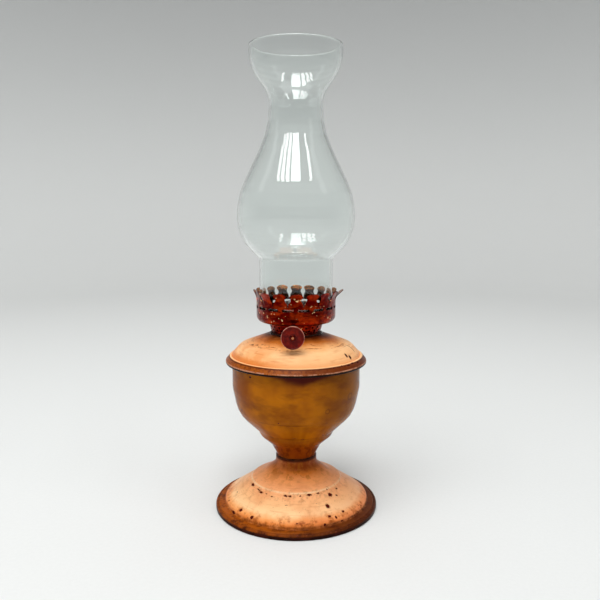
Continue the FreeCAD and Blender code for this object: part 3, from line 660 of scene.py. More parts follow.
plate = turned("bottom_plate", PLATE, rim_enamel(), TIN, turns=224, waviness=0.12, waves=40.0)
kept(plate, "lamp", "base_plate")

# %% [markdown]
# ## The solder line
#
# The font stands in the foot's neck and is soldered there. The fillet is small, lumpy and painted dark. A
# bevel could round the corner instead, but solder is a piece of its own, so a little triangle is turned
# with short waves.

# %% Solder fillet
SOLDER = [(11.45, 30.8), (11.95, 30.8, 0.15), (11.45, 31.5)]


def solder_paint():
    finish, place = new_finish("solder")
    lumps = cloud(place, 1.6)
    colour = blend(lumps.step(0.35, 0.65), (34, 10, 4), (104, 48, 16))
    return surfaced(finish, colour, lumps.between(0.35, 0.6), lumps, 0.2, gloss=0.1)


solder = turned("solder_fillet", SOLDER, solder_paint(), turns=160, waviness=0.05, waves=300.0)
kept(solder, "lamp", "neck_solder")

# %% [markdown]
# ## The font
#
# The font holds the oil. It is a deep bowl on a stepped funnel, spun in one piece with the flange that the
# lid grips. A sphere could be scaled and cut for the bowl, but one outline runs on through every step
# without a seam, and its large roundings make the swell.

# %% Font outline
BOWL = [
    (2.05, 26.8), (11.3, 26.8, 0.9), (11.35, 31.8, 2.0), (14.8, 38.4, 2.0), (21.1, 44.0, 1.4),
    (22.8, 47.2, 2.0), (34.2, 58.3, 18.0), (37.2, 73.1, 15.0), (37.1, 88.0, 0.8), (40.25, 88.0)]
print("font outline:", len(rounded(walled(BOWL, TIN))), "points")

# %% [markdown]
# ## The font's enamel
#
# The font is golden ochre. Its coats are a darker right side that is painted shade, brush marks, a redder
# funnel with runs, painted shade under the rim, the dark red stain of oil that crept out there, two faint
# pressed lines, two small ring-shaped dents and bare iron. The dents could be modelled, but they are so
# shallow that a bump is enough. They reuse the flakes, and keep only a thin ring of each.

# %% Font enamel
BOWL_FLAKES = [
    (-42, 84.6, 1.6, 1.1), (-45, 86.2, 1.2, 0.9), (-61, 62.6, 1.3, 1.8), (-16, 59.8, 1.8, 1.3),
    (38, 49.0, 1.3, 0.9), (-2, 48.4, 3.0, 0.5), (9, 47.6, 2.2, 0.5)]
RING_DENTS = [(29, 66.3, 3.2, 3.2), (55, 72.0, 5.0, 4.6)]
PRESSED_LINES = (58.8, 47.3)
STAIN_RIGHT = 4.0
STAIN_LOW = 81.4


def bowl_enamel():
    finish, place = new_finish("bowl_enamel")
    height = place.part("Z")
    right = place.part("X")
    patches = cloud(place, 20)
    fine = cloud(place, 2.5, detail=4, roughness=0.6)
    brushed = streaks(place, 7.0, 22.0)
    runs = cloud(place, 3.0, stretch=(1.0, 1.0, 0.25))
    gold = blend(patches.step(0.34, 0.66), (184, 106, 4), (142, 72, 4))
    wandering = height + (patches - 0.5) * 7.0
    funnel = wandering.fade(37.0, 48.0)
    stain_edge = abs(right - STAIN_RIGHT) * 0.26 + STAIN_LOW + (brushed - 0.5) * 6.0
    stain = (height - stain_edge).step(-0.8, 2.2) * (place.part("Y") * -1.0).step(0.0, 20.0)
    upper_line, lower_line = (abs(height - line) for line in PRESSED_LINES)
    press = upper_line.lesser(lower_line).fade(0.12, 0.5)
    circle = abs(flaked(place, BOWL, RING_DENTS, raggedness=0.5) - 0.8).fade(0.08, 0.3)
    bare = flaked(place, BOWL, BOWL_FLAKES).fade(0.85, 1.1)
    colour = coated(
        gold,
        # Painted shade: the right side darker.
        (right.step(4.0, 30.0), 0.7, (122, 70, 6)),
        (brushed.step(0.46, 0.68), 0.6, (108, 50, 4)),
        (funnel, 0.75, (130, 46, 6)),
        (funnel * runs.step(0.46, 0.62), 0.5, (70, 22, 4)),
        # Painted shade under the rim, darker towards the top.
        (wandering.step(83.0, 89.0), 0.5, (78, 34, 6)),
        (stain, 0.92, (76, 6, 3)),
        (press * brushed.step(0.42, 0.60), 0.5, (84, 34, 6)),
        (circle, 0.45, (84, 40, 8)),
        (bare, 1.0, IRON))
    relief = fine * 0.2 + circle * 0.25 - (bare + press * 0.3)
    return surfaced(finish, colour, fine.between(0.16, 0.32) + bare * 0.4, relief, 0.12, gloss=0.07)


bowl = turned("font_bowl_shell", BOWL, bowl_enamel(), TIN, turns=224, waviness=0.3)
kept(bowl, "lamp", "font_bowl")

# %% [markdown]
# ## The lid
#
# The lid is crimped over the bowl's flange. A brown band slopes up to a bright bead, a groove follows, and a
# cream dome rises to the burner. Bead and groove could be painted rings, but they catch the window's light,
# so they are corners of the outline.

# %% Lid outline
LID = [
    (38.6, 87.35), (40.9, 87.35, 0.6), (40.9, 88.9, 0.5), (38.5, 91.8, 0.6), (37.6, 91.8, 0.55),
    (37.2, 91.1, 0.2), (36.2, 93.6, 3.0), (32.7, 97.6, 6.0), (15.9, 103.95, 1.0), (12.93, 103.95)]
print("lid outline:", len(rounded(walled(LID, TIN))), "points")

# %% [markdown]
# ## The lid's enamel
#
# The dome has the foot's cream. Heat has browned it round the burner, and painted shade darkens it more
# there, under the burner. The coats are warmth on the left, brush marks, worn lines, the band, darker on the
# right and just outside the bead as painted shade, the bead with a painted highlight, a pale edge that is
# partly rubbed and partly a painted highlight, painted shade on the underside, rust and bare iron. A scratch
# needs no tool of its own: it is a flake that is narrow and high.

# %% Lid enamel
LID_FLAKES = [
    (-63, 99.6, 1.4, 1.4), (53, 95.2, 1.6, 2.6), (57, 93.9, 1.8, 2.6), (32, 91.2, 2.6, 0.9),
    (40, 91.3, 1.8, 0.8), (47, 91.0, 3.2, 1.3), (53, 91.3, 2.4, 1.2), (61, 90.8, 3.0, 1.4)]
LID_SCRATCHES = [(72.5, 97.6, 0.7, 7.5), (66, 98.9, 0.5, 4.0)]


def lid_enamel():
    finish, place = new_finish("lid_enamel")
    across = place.off_axis()
    height = place.part("Z")
    right = place.part("X")
    patches = cloud(place, 13, detail=4)
    fine = cloud(place, 2.0, detail=4, roughness=0.65)
    brushed = streaks(place, 2.4, 13.0)
    # The darkest rings, round the collar, are heat-browning and painted shade under the burner.
    sprayed = rings(across + (patches - 0.5) * 9.0 + (fine - 0.5) * 3.0, [
        (14.0, (76, 26, 6)), (18.0, (134, 58, 12)), (22.0, (196, 108, 40)),
        (26.5, (242, 174, 110)), (31.0, (252, 198, 142)), (36.6, (248, 184, 126))])
    left = (right * -1.0).step(0.0, 24.0)
    groove = (across + fine * 2.0).step(35.4, 37.6)
    warmth = left * groove.greater(patches.step(0.40, 0.62) * 0.65)
    soiled = across.step(19.0, 23.0) * across.fade(27.0, 31.0)
    worn_lines = soiled * (brushed + (fine - 0.5) * 0.8).step(0.56, 0.68)
    bead = height.step(91.25, 91.55) * across.step(37.0, 37.4) * across.fade(38.4, 38.7)
    # The band: darker on the right and just outside the bead, both painted shade.
    brown = coated(
        blend(right.step(-20.0, 30.0), (158, 80, 18), (106, 46, 14)),
        (fine.step(0.40, 0.66), 0.8, (96, 38, 10)),
        (across.fade(39.0, 39.5), 0.8, (72, 26, 6)))
    flake = flaked(place, LID, LID_FLAKES, raggedness=1.3)
    scratch = flaked(place, LID, LID_SCRATCHES, raggedness=0.5)
    bare = flake.lesser(scratch).fade(0.85, 1.1)
    colour = coated(
        sprayed,
        (warmth, 0.85, (226, 130, 52)),
        (brushed.step(0.50, 0.72), 0.5, (206, 120, 62)),
        (worn_lines, 0.65, (146, 74, 26)),
        (across.step(38.5, 38.9), 1.0, brown),
        # Painted highlight: the bead brighter than the cream.
        (bead, 1.0, (250, 198, 142)),
        # A pale line on the rolled edge: partly wear, partly a painted highlight.
        (across.step(40.55, 40.8) * fine.step(0.36, 0.58), 0.75, (206, 148, 116)),
        # Painted shade on the underside of the rolled edge.
        (height.fade(88.3, 88.7), 1.0, (24, 10, 8)),
        (flake.fade(0.95, 1.5), 0.5, (160, 84, 44)),
        (bare, 1.0, (66, 16, 8)))
    dull = fine.between(0.22, 0.42) + bare * 0.4
    return surfaced(finish, colour, dull, fine * 0.25 - bare, 0.12, gloss=0.07)


lid = turned("font_lid_shell", LID, lid_enamel(), TIN, turns=224, waviness=0.2)
kept(lid, "lamp", "font_lid")

# %% [markdown]
# ## Aged brass
#
# The burner has been hot for years. Its brass is dark red-brown, almost like varnish, and still shines.
# Soot has blackened the inside, and painted shade darkens it more. The prong heads there carry a bright tan
# painted reflection of the window, and small bright specks are painted glints. A painted mask could say
# where the inside is, but a face that looks at the axis tells it by itself. One function mixes the finish
# from three colours, so that collar, burner and winder belong together without being the same.

# %% Aged brass finish
HEADS_LOW = 126.6
HEADS_HIGH = 128.0


def aged_brass(name, dark, warm, glint):
    finish, place = new_finish(name)
    patches = cloud(place, 4, detail=4)
    fine = cloud(place, 0.8, roughness=0.7)
    drawn = streaks(place, 2.6, 11.0)
    painted_glints = cloud(place, 2.2, detail=2, roughness=0.6)
    inwards = place.vector("MULTIPLY", (-1.0, -1.0, 0.0)).vector("NORMALIZE")
    faces = put(place.tree, "ShaderNodeTexCoord", output="Normal")
    # The inside: soot, and painted shade.
    inside = inwards.vector("DOT_PRODUCT", faces, output="Value").step(0.1, 0.4)
    # Painted reflection: the window's bright tan on the inside of the prong heads.
    wear_and_sheen = inside * place.part("Z").step(HEADS_LOW, HEADS_HIGH) * fine.step(0.34, 0.58)
    colour = coated(
        blend(drawn.step(0.38, 0.64), dark, warm),
        (patches.step(0.50, 0.72), 0.7, (48, 6, 2)),
        (inside, 0.85, (26, 8, 4)),
        (wear_and_sheen, 1.0, (222, 142, 82)),
        # Painted glints: small bright specks of reflected light.
        (painted_glints.step(0.67, 0.70), 0.95, glint))
    return surfaced(finish, colour, patches.between(0.10, 0.34), patches * 2.0 + fine * 0.3, 0.35, metal=1.0)


burner_brass = aged_brass("burner_brass", (92, 3, 1), (156, 42, 8), (250, 206, 150))
collar_brass = aged_brass("collar_brass", (48, 12, 6), (98, 36, 14), (150, 84, 44))
winder_brass = aged_brass("winder_brass", (96, 16, 8), (140, 44, 22), (190, 100, 70))
print("three brasses")

# %% [markdown]
# ## Tiles wrapped round the axis
#
# The cup's air holes and the crown's prongs repeat all the way round. Booleans would leave poor faces, so
# one tile is drawn flat with its hole already in it. A tree lays copies side by side and wraps the strip
# round the axis: across becomes an angle, and up a distance along a side outline. It also bends each prong
# its own way, and welds the tiles.

# %% The wrapping tree
BRASS = 0.4
TILE_GAP = 1e-5
MOST_INWARD = -0.3
CURL_POWER = 1.6


def wrapping_tree():
    tree, given = new_tree("wrapped_round_the_axis", {
        "Tile": "Geometry", "Side Outline": "Object", "Copies": "Int", "Tile Width": "Float",
        "Start Angle": "Float", "Prong Root": "Float", "Prong Height": "Float", "Lean": "Float",
        "Sway": "Float", "Seed": "Int", "Bent Prong": "Int", "Bent Lean": "Float", "Finish": "Material"})
    shift = put(tree, "ShaderNodeCombineXYZ", {"X": given["Tile Width"]})
    row = put(tree, "GeometryNodeMeshLine", {"Count": given["Copies"], "Offset": shift})
    copies = put(tree, "GeometryNodeInstanceOnPoints", {"Points": row, "Instance": given["Tile"]})
    strip = put(tree, "GeometryNodeRealizeInstances", {"Geometry": copies})
    here = put(tree, "GeometryNodeInputPosition")
    up = here.part("Y")
    tiles_along = here.part("X") / given["Tile Width"]
    side = put(tree, "GeometryNodeObjectInfo", {"Object": given["Side Outline"]}, "Geometry")
    side_curve = put(tree, "GeometryNodeMeshToCurve", {"Mesh": side})
    on_side = put(tree, "GeometryNodeSampleCurve", {"Curves": side_curve, "Length": up}, "Position",
                  mode="LENGTH")
    prong = math.floor(tiles_along) % given["Copies"]
    own_lean = put(tree, "FunctionNodeRandomValue", {
        2: MOST_INWARD, 3: 1.0, "ID": prong, "Seed": given["Seed"]}, 1)
    own_sway = put(tree, "FunctionNodeRandomValue", {
        2: -1.0, 3: 1.0, "ID": prong, "Seed": given["Seed"] + 1.0}, 1)
    above_root = (up - given["Prong Root"]).greater(0.0)
    curl = (above_root / given["Prong Height"]) ** CURL_POWER
    is_bent = prong.equals(given["Bent Prong"], 0.1)
    lean = own_lean * given["Lean"] + is_bent * given["Bent Lean"]
    out = put(tree, "ShaderNodeCombineXYZ", {"X": lean * curl})
    angle = tiles_along / given["Copies"] * FULL_TURN + given["Start Angle"]
    wrapped_place = put(tree, "ShaderNodeVectorRotate", {
        "Vector": on_side.vector("ADD", out), "Axis": (0.0, 0.0, 1.0),
        "Angle": angle + own_sway * given["Sway"] * curl}, rotation_type="AXIS_ANGLE")
    placed = put(tree, "GeometryNodeSetPosition", {"Geometry": strip, "Position": wrapped_place})
    welded = put(tree, "GeometryNodeMergeByDistance", {"Geometry": placed, "Distance": TILE_GAP})
    return ended(tree, welded, given["Finish"])


WRAPPING = wrapping_tree()


def wrapped(name, tile, side, copies, pitch, bends):
    """Brass sheet from copies of a tile, wrapped round the axis along a side outline."""
    outline = outline_mesh(name + "_side", side, closed=False)
    piece = baked(name, tile.held(name + "_tile"), WRAPPING, {
        "Side Outline": outline, "Copies": copies, "Tile Width": pitch * MM, "Finish": burner_brass} | bends,
        wall=BRASS)
    bpy.data.objects.remove(outline)
    return piece


print("wrapping tree:", len(WRAPPING.nodes), "nodes")

# %% [markdown]
# ## Drawing flat tiles
#
# Tiles that will be neighbours must have the same points along the edges where they meet, or the weld
# leaves cracks. A holed band is a ring of faces between a circle and its border, with as many points on
# both.

# %% Tile helpers
LOWER_LEFT = math.radians(-135)


class FlatTile:
    """Collects faces given by their corners, in millimetres."""

    def __init__(self):
        self.points = []
        self.faces = []

    def face(self, *corners):
        start = len(self.points)
        self.points += corners
        self.faces.append(tuple(range(start, start + len(corners))))

    def panel(self, left, right, low, high, cuts):
        """A plain band, cut into faces across."""
        steps = [left + (right - left) * cut / cuts for cut in range(cuts + 1)]
        for one, two in zip(steps, steps[1:]):
            self.face((one, low), (two, low), (two, high), (one, high))

    def holed(self, left, right, low, high, middle_up, radius, cuts):
        """A band with a round hole in its middle, with as many border points a side as the panels have."""
        corners = [Vector(place) for place in ((left, low), (right, low), (right, high), (left, high))]
        border = []
        for here, there in zip(corners, corners[1:] + corners[:1]):
            border += [here.lerp(there, cut / cuts) for cut in range(cuts)]
        middle = Vector(((left + right) / 2, middle_up))
        angles = [LOWER_LEFT + FULL_TURN * index / len(border) for index in range(len(border))]
        circle = [middle + Vector((math.cos(angle), math.sin(angle))) * radius for angle in angles]
        pairs = list(zip(border, circle))
        for (outer, inner), (next_outer, next_inner) in zip(pairs, pairs[1:] + pairs[:1]):
            self.face(outer, next_outer, next_inner, inner)

    def held(self, name):
        """The tile as an object, in metres."""
        return plain_mesh(name, [(across * MM, up * MM, 0.0) for across, up in self.points], [], self.faces)


def length_to(points, height):
    """Distance along an outline, in millimetres, to where it first rises past a height in millimetres."""
    total = 0.0
    for here, there in zip(points, points[1:]):
        run = (there - here).length
        if here.y <= height * MM <= there.y and there.y > here.y:
            return (total + run * (height * MM - here.y) / (there.y - here.y)) / MM
        total += run
    return total / MM


print("tiles are drawn flat, in millimetres")

# %% [markdown]
# ## The burner cup
#
# Air reaches the flame through two staggered rows of small holes in the cup. They could be dark dots, but
# real holes let light through. The two rows are drawn half a pitch apart, and meet along a line where both
# have the same points.

# %% Burner cup
CUP_TOP = 110.65
CUP = [(11.5, 105.25), (14.1, 105.25, 0.6), (15.9, CUP_TOP)]
CUP_HOLES = 24
CUP_HOLE_RADIUS = 0.65
CUP_HOLE_CIRCLE = 15.0
CUP_ROWS = (107.25, 109.05)
CUP_CUTS = 6
SHORT_OF_END = 0.001

cup_side = rounded(CUP, closed=False, step=0.5)
cup_pitch = FULL_TURN * CUP_HOLE_CIRCLE / CUP_HOLES
low_row, high_row = (length_to(cup_side, height) for height in CUP_ROWS)
half_row = (high_row - low_row) / 2
low_edge = low_row - half_row
middle_edge = (low_row + high_row) / 2
high_edge = high_row + half_row
half_pitch = cup_pitch / 2

cup_tile = FlatTile()
for low, high in ((0.0, 1.3), (1.3, 2.2), (2.2, 2.8), (2.8, low_edge)):
    cup_tile.panel(-half_pitch, half_pitch, low, high, CUP_CUTS)
cup_tile.holed(-half_pitch, half_pitch, low_edge, middle_edge, low_row, CUP_HOLE_RADIUS, CUP_CUTS)
cup_tile.holed(0.0, cup_pitch, middle_edge, high_edge, high_row, CUP_HOLE_RADIUS, CUP_CUTS)
cup_tile.panel(0.0, cup_pitch, high_edge, length_to(cup_side, CUP_TOP) - SHORT_OF_END, CUP_CUTS)

cup = wrapped("burner_cup_sheet", cup_tile, cup_side, CUP_HOLES, cup_pitch, {"Prong Root": 1.0})
kept(cup, "burner", "burner_cup")
print("cup:", CUP_HOLES * len(CUP_ROWS), "holes")

# %% [markdown]
# ## The gallery and its crown of prongs
#
# The gallery holds the chimney. It is one pressing: a floor, a wall pierced with short slots, and sixteen
# springy prongs with round heads. Years of handling have bent every prong a little, and one quite far. An
# Array modifier could set the prongs round, but all alike. The wrapping tree bends each in its own way.

# %% Gallery sizes
GALLERY_RADIUS = 22.8
GALLERY = [
    (14.88, 109.4), (15.35, 110.8, 0.5), (GALLERY_RADIUS, 111.6, 3.4), (GALLERY_RADIUS, 125.7, 3.0),
    (24.2, 129.6)]
PRONGS = 16
SLOT_LEVEL = 120.2
SLOT_END = 2.7
SLOT_ROUND = 0.75
PRONG_ROOT = 122.3
PRONG_SIDE = [
    (0.0, 0.12), (0.12, 0.26), (0.3, 0.34), (0.8, 0.36), (1.4, 0.5), (2.0, 0.85), (2.6, 1.25), (3.2, 1.55),
    (3.7, 1.64), (4.2, 1.55), (4.7, 1.25), (5.2, 0.95), (5.6, 0.82)]
HEAD_ROUND = 1.7

gallery_side = rounded(GALLERY, closed=False, step=0.8)
gallery_pitch = FULL_TURN * GALLERY_RADIUS / PRONGS
slot_up = length_to(gallery_side, SLOT_LEVEL)
root_up = length_to(gallery_side, PRONG_ROOT)
print("one prong to every", round(gallery_pitch, 2), "mm of wall")

# %% [markdown]
# ## One tile of the gallery
#
# One tile holds the gap between two prongs, so each prong is made of the halves of two tiles. The left half
# mirrors the right one, which is a stack of rows, closest where the floor turns up. The inner edge of a row
# is the slot's round end beside the slot and the prong's side above the root. Below and between, it only
# divides the wall.

# %% Gallery tile
BEND_START = 1.0
PRONG_BENDS = {
    "Start Angle": math.pi / PRONGS, "Prong Height": 6.3 * MM, "Lean": 1.0 * MM, "Sway": 0.03, "Seed": 7,
    "Bent Prong": 15, "Bent Lean": 2.6 * MM}
LOW_ROWS = (0.0, 0.9, 1.6, 3.2, 5.0, 6.2, 6.9, 7.6, 8.3, 9.0, 9.7, 10.5, 12.2, 14.2)
SLOT_STEPS = 6
WALL_STEPS = 5
HEAD_STEPS = 8
WALL_CUTS = 3
PRONG_CUTS = 6


def gallery_rows():
    """Rows of the tile's right half: height, inner edge, and whether the wall is open left of that edge."""
    rows = [(up, SLOT_END, False) for up in LOW_ROWS]
    for step in range(SLOT_STEPS + 1):
        angle = math.pi * (step / SLOT_STEPS - 0.5)
        edge = SLOT_END + SLOT_ROUND * math.cos(angle)
        rows.append((slot_up + SLOT_ROUND * math.sin(angle), edge, step < SLOT_STEPS))
    slot_top = slot_up + SLOT_ROUND
    for share in (step / WALL_STEPS for step in range(1, WALL_STEPS)):
        edge = SLOT_END + (PRONG_SIDE[0][1] - SLOT_END) * share
        rows.append((slot_top + (root_up - slot_top) * share, edge, False))
    rows += [(root_up + up, across, True) for up, across in PRONG_SIDE]
    head_up, head_side = PRONG_SIDE[-1]
    for step in range(1, HEAD_STEPS + 1):
        angle = math.pi / 2 * step / HEAD_STEPS
        edge = gallery_pitch / 2 - (gallery_pitch / 2 - head_side) * math.cos(angle)
        rows.append((root_up + head_up + HEAD_ROUND * math.sin(angle), edge, True))
    return rows


def across_row(edge, is_open):
    """Where a row of the right half is cut, from the middle to the prong's middle line."""
    wall = [] if is_open else [edge * cut / WALL_CUTS for cut in range(WALL_CUTS)]
    return wall + [edge + (gallery_pitch / 2 - edge) * cut / PRONG_CUTS for cut in range(PRONG_CUTS + 1)]


def gallery_tile():
    tile = FlatTile()
    rows = gallery_rows()
    for (low, low_edge, is_open), (high, high_edge, _) in zip(rows, rows[1:]):
        below = across_row(low_edge, is_open)
        above = across_row(high_edge, is_open)
        for side in (1, -1):
            for cut in range(len(below) - 1):
                corners = [(side * below[cut], low), (side * below[cut + 1], low),
                           (side * above[cut + 1], high), (side * above[cut], high)]
                tile.face(*(corners if side > 0 else reversed(corners)))
    return tile


bends = {"Prong Root": (root_up + BEND_START) * MM} | PRONG_BENDS
gallery = wrapped("gallery_sheet", gallery_tile(), gallery_side, PRONGS, gallery_pitch, bends)
kept(gallery, "burner", "gallery")
print("gallery:", PRONGS, "prongs")

# %% [markdown]
# ## The winder
#
# A thin shaft runs from the toothed wheels at the wick to a flat knob in front, a thin disc with a raised
# rim that the shaft's riveted end holds. These pieces are turned upright and then laid forward. Their
# objects could be rotated, but a pattern in object coordinates would turn with them, so the meshes are.

# %% Winder pieces on their shaft
WINDER_PLACE = Vector((-1.6, 0.0, 107.45))
LAID_FORWARD = Matrix.Translation(WINDER_PLACE * MM) @ Matrix.Rotation(math.pi / 2, 4, "X")


def from_shaft(place):
    """Distance from the shaft's axis in millimetres."""
    centred = place.vector("SUBTRACT", WINDER_PLACE)
    return centred.vector("MULTIPLY", (1.0, 0.0, 1.0)).vector("LENGTH", output="Value")


def riveted_brass():
    """The shaft: brown, with the middle of its riveted end rubbed bright."""
    finish, place = new_finish("riveted_brass")
    fine = cloud(place, 0.7, roughness=0.7)
    brown = (from_shaft(place) + fine * 0.9).step(0.95, 1.3)
    colour = blend(brown, (196, 124, 86), (92, 18, 8))
    return surfaced(finish, colour, fine.between(0.15, 0.4), fine, 0.1, metal=1.0)


def knob_lacquer():
    """Dark red lacquer with a painted highlight on its rim and faint turning rings."""
    finish, place = new_finish("knob_lacquer")
    across = from_shaft(place)
    patches = cloud(place, 2.5, detail=4)
    fine = cloud(place, 0.6, roughness=0.7)
    colour = coated(
        blend(patches.step(0.36, 0.64), (84, 8, 4), (122, 22, 8)),
        # Painted highlight on the rim.
        (across.step(5.95, 6.25) * patches.step(0.30, 0.55), 0.75, (214, 150, 130)),
        (across.fade(1.5, 2.2), 1.0, (40, 6, 4)))
    turning_marks = (across * 9.0).sine() * 0.3
    return surfaced(finish, colour, fine.between(0.2, 0.4), turning_marks + patches, 0.05, gloss=0.12)


def on_shaft(name, corners, finish, body, slot, node, turns=48, **shape):
    """A piece turned about Z and laid along the winder's axis, in its mesh."""
    piece = turned(name, corners, finish, turns=turns, **shape)
    piece.data.transform(LAID_FORWARD)
    kept(piece, body, node)


on_shaft("winder_shaft_rod", [
    (0.0, -7.0), (0.9, -7.0, 0.15), (0.9, 33.5), (1.6, 33.5), (1.6, 34.1, 0.4), (0.0, 34.1)],
    riveted_brass(), "winder", "winder_metal", "winder_shaft")
on_shaft("winder_knob_disc", [
    (0.9, 32.9), (5.0, 32.9, 0.6), (5.6, 32.5, 0.2), (6.35, 32.5, 0.3), (6.35, 33.9, 0.35),
    (5.6, 33.9, 0.3), (5.35, 33.5, 0.3), (0.9, 33.5)],
    knob_lacquer(), "winder", "winder_metal", "winder_knob",
    turns=96, waviness=0.12, waves=250.0, step=0.6)
on_shaft("winder_boss", [
    (0.9, 29.5), (1.65, 29.5, 0.2), (2.2, 31.2, 0.5), (2.2, 32.9), (0.9, 32.9)],
    winder_brass, "winder", "winder_metal", "knob_boss")
on_shaft("winder_gland", [
    (0.98, 12.4), (1.9, 12.4), (1.9, 15.9), (2.7, 15.9, 0.2), (2.7, 16.6, 0.2), (1.9, 16.6),
    (1.9, 18.6, 0.3), (0.98, 18.6)],
    burner_brass, "burner", "burner_brass", "shaft_gland")

# %% [markdown]
# ## The wick
#
# The wick is a flat woven cotton tape with a charred top. Its warp cords show as ribs along it, and each
# weft pass dips a little across them. A bump could fake the weave, but not the ribbed edge of the top. So
# the mesh is a tube of rings that follow the cords and the passes, always inside the tape's thickness.

# %% Woven wick
WICK_MIDDLE = 2.0
WICK_WIDTH = 11.5
WICK_THICKNESS = 2.0
WICK_LOW = 62.65
WICK_TOP = 123.2
WICK_CORNER = 0.6
CORDS = 9
CORD_STEPS = 6
CORD_DEPTH = 0.14
WEFT = 1.3
WEFT_STEPS = 4
WEFT_DEPTH = 0.10
THINNEST = 0.05


def wick_cotton():
    finish, place = new_finish("wick_cotton")
    fibres = cloud(place, 0.35, roughness=0.7, stretch=(1.0, 1.0, 0.4))
    ragged = place.part("Z") + fibres * 1.2
    colour = coated(
        blend(fibres, (196, 182, 150), (238, 228, 204)),
        (ragged.step(118.0, 121.6), 1.0, (112, 72, 38)),
        (ragged.step(120.8, 122.2), 1.0, (20, 16, 14)))
    return surfaced(finish, colour, 0.95, fibres, 0.1)


def wick_ring(height, row):
    """One ring of the tape, counter-clockwise seen from above."""
    ring = []
    steps = CORDS * CORD_STEPS
    for side in (1, -1):
        for share in (step / steps for step in range(steps)):
            along = (share - 0.5) * WICK_WIDTH * side
            rib = abs(math.sin(math.pi * CORDS * share))
            edge = max(0.0, abs(along) - (WICK_WIDTH / 2 - WICK_CORNER)) / WICK_CORNER
            fullness = math.sqrt(max(0.0, 1.0 - edge * edge))
            dip = WEFT_DEPTH * (1 - math.cos(FULL_TURN * row / WEFT_STEPS)) * rib
            thick = (WICK_THICKNESS / 2 - CORD_DEPTH * (1 - rib) - dip) * max(fullness, THINNEST)
            ring.append(Vector((WICK_MIDDLE + thick * side, along, height)) * MM)
    return ring


def end_faces(first, around, upward):
    """Faces that close a ring straight across, from one side of the tape to the other."""
    faces = []
    for step in range(around // 2):
        far = [first + (around - step - 1) % around, first + (around - step) % around]
        ends = [first + step, first + step + 1] + far
        faces.append(tuple(dict.fromkeys(ends if upward else reversed(ends))))
    return [face for face in faces if len(face) > 2]


def woven_wick():
    rows = int((WICK_TOP - WICK_LOW) / WEFT * WEFT_STEPS)
    points = []
    for row in range(rows + 1):
        points += wick_ring(WICK_LOW + (WICK_TOP - WICK_LOW) * row / rows, row)
    around = len(points) // (rows + 1)
    faces = []
    for start in range(0, rows * around, around):
        for step in range(around):
            after = (step + 1) % around
            faces.append((start + step, start + after, start + around + after, start + around + step))
    faces += end_faces(0, around, upward=False) + end_faces(rows * around, around, upward=True)
    piece = plain_mesh("woven_wick", points, [], faces)
    piece.data.materials.append(wick_cotton())
    piece.data.shade_smooth()
    piece.data.validate()
    return piece


wick = woven_wick()
kept(wick, "wick", "wick")
print("wick:", CORDS, "cords,", len(wick.data.polygons), "faces")

# %% [markdown]
# ## The leather seal
#
# A ring of oiled leather lies between the collar and the burner. Only its dark edge shows, so a turned ring
# with a little waviness and grain is enough.

# %% Leather seal


def oiled_leather():
    finish, place = new_finish("seal_leather")
    grain = cloud(place, 0.7, detail=4, roughness=0.7)
    return surfaced(finish, blend(grain, (38, 22, 14), (84, 54, 34)), 0.6, grain, 0.08)


seal = turned("leather_seal", [
    (12.6, 104.45), (14.8, 104.45, 0.18), (14.8, 104.85, 0.18), (12.6, 104.85)],
    oiled_leather(), turns=160, waviness=0.1, waves=200.0, step=0.8)
kept(seal, "seal", "collar_washer")

# %% [markdown]
# ## The chimney
#
# The chimney is blown glass: a straight foot, a bulb, a waist and a flared mouth whose rim was melted
# round in a flame. Its wall is never quite even, so it is turned with a long, soft wave. A single surface
# could stand for thin glass, but light bends on its way in and again on its way out, and that draws the
# dark edges of a real chimney. So the wall has both faces, and a shader that transmits all light.

# %% Chimney and its glass
GLASS = 1.5
CHIMNEY = [
    (21.0, 113.4, 0.5), (21.0, 147.6, 0.8), (33.5, 159.4, 26.4), (33.5, 181.5, 45.0), (15.0, 219.9, 52.0),
    (15.0, 238.3, 16.7), (26.05, 252.9, 25.0), (26.05, 264.7, 0.7)]
CLEAR = (0.955, 0.985, 0.975, 1.0)


def blown_glass():
    finish, place = new_finish("chimney_glass")
    seeds = cloud(place, 9, detail=2, stretch=(1.0, 1.0, 0.5))
    fill(finish.node_tree.nodes["Principled BSDF"], {"Transmission Weight": 1.0, "IOR": 1.5})
    return surfaced(finish, CLEAR, 0.0, seeds, 0.015)


def melted(corner, rounding):
    """A corner with another rounding."""
    return (*corner[:2], rounding)


blown = walled(CHIMNEY, GLASS)
blown[len(CHIMNEY)] = melted(blown[len(CHIMNEY)], 0.7)
blown[-1] = melted(blown[-1], 0.5)
chimney = turned("chimney_glass", blown, blown_glass(), turns=224, waviness=0.16, waves=12.0, step=1.2)
kept(chimney, "chimney", "chimney")

# %% [markdown]
# ## Pieces whose shape is already right
#
# The collar, the air plate, the flame dome, the wick tube and the small parts inside are plain, and most of
# them hardly show. They could be made again, but the frame's own shapes are already right. So they only get
# finishes: brass at the burner, tinplate and steel where they hold font and foot.

# %% Finishes for the kept nodes


def dull_metal(name, dark, light, rough):
    finish, place = new_finish(name)
    patches = cloud(place, 3, detail=4)
    roughness = patches.between(rough - 0.1, rough + 0.15)
    return surfaced(finish, blend(patches, dark, light), roughness, patches, 0.05, metal=0.9)


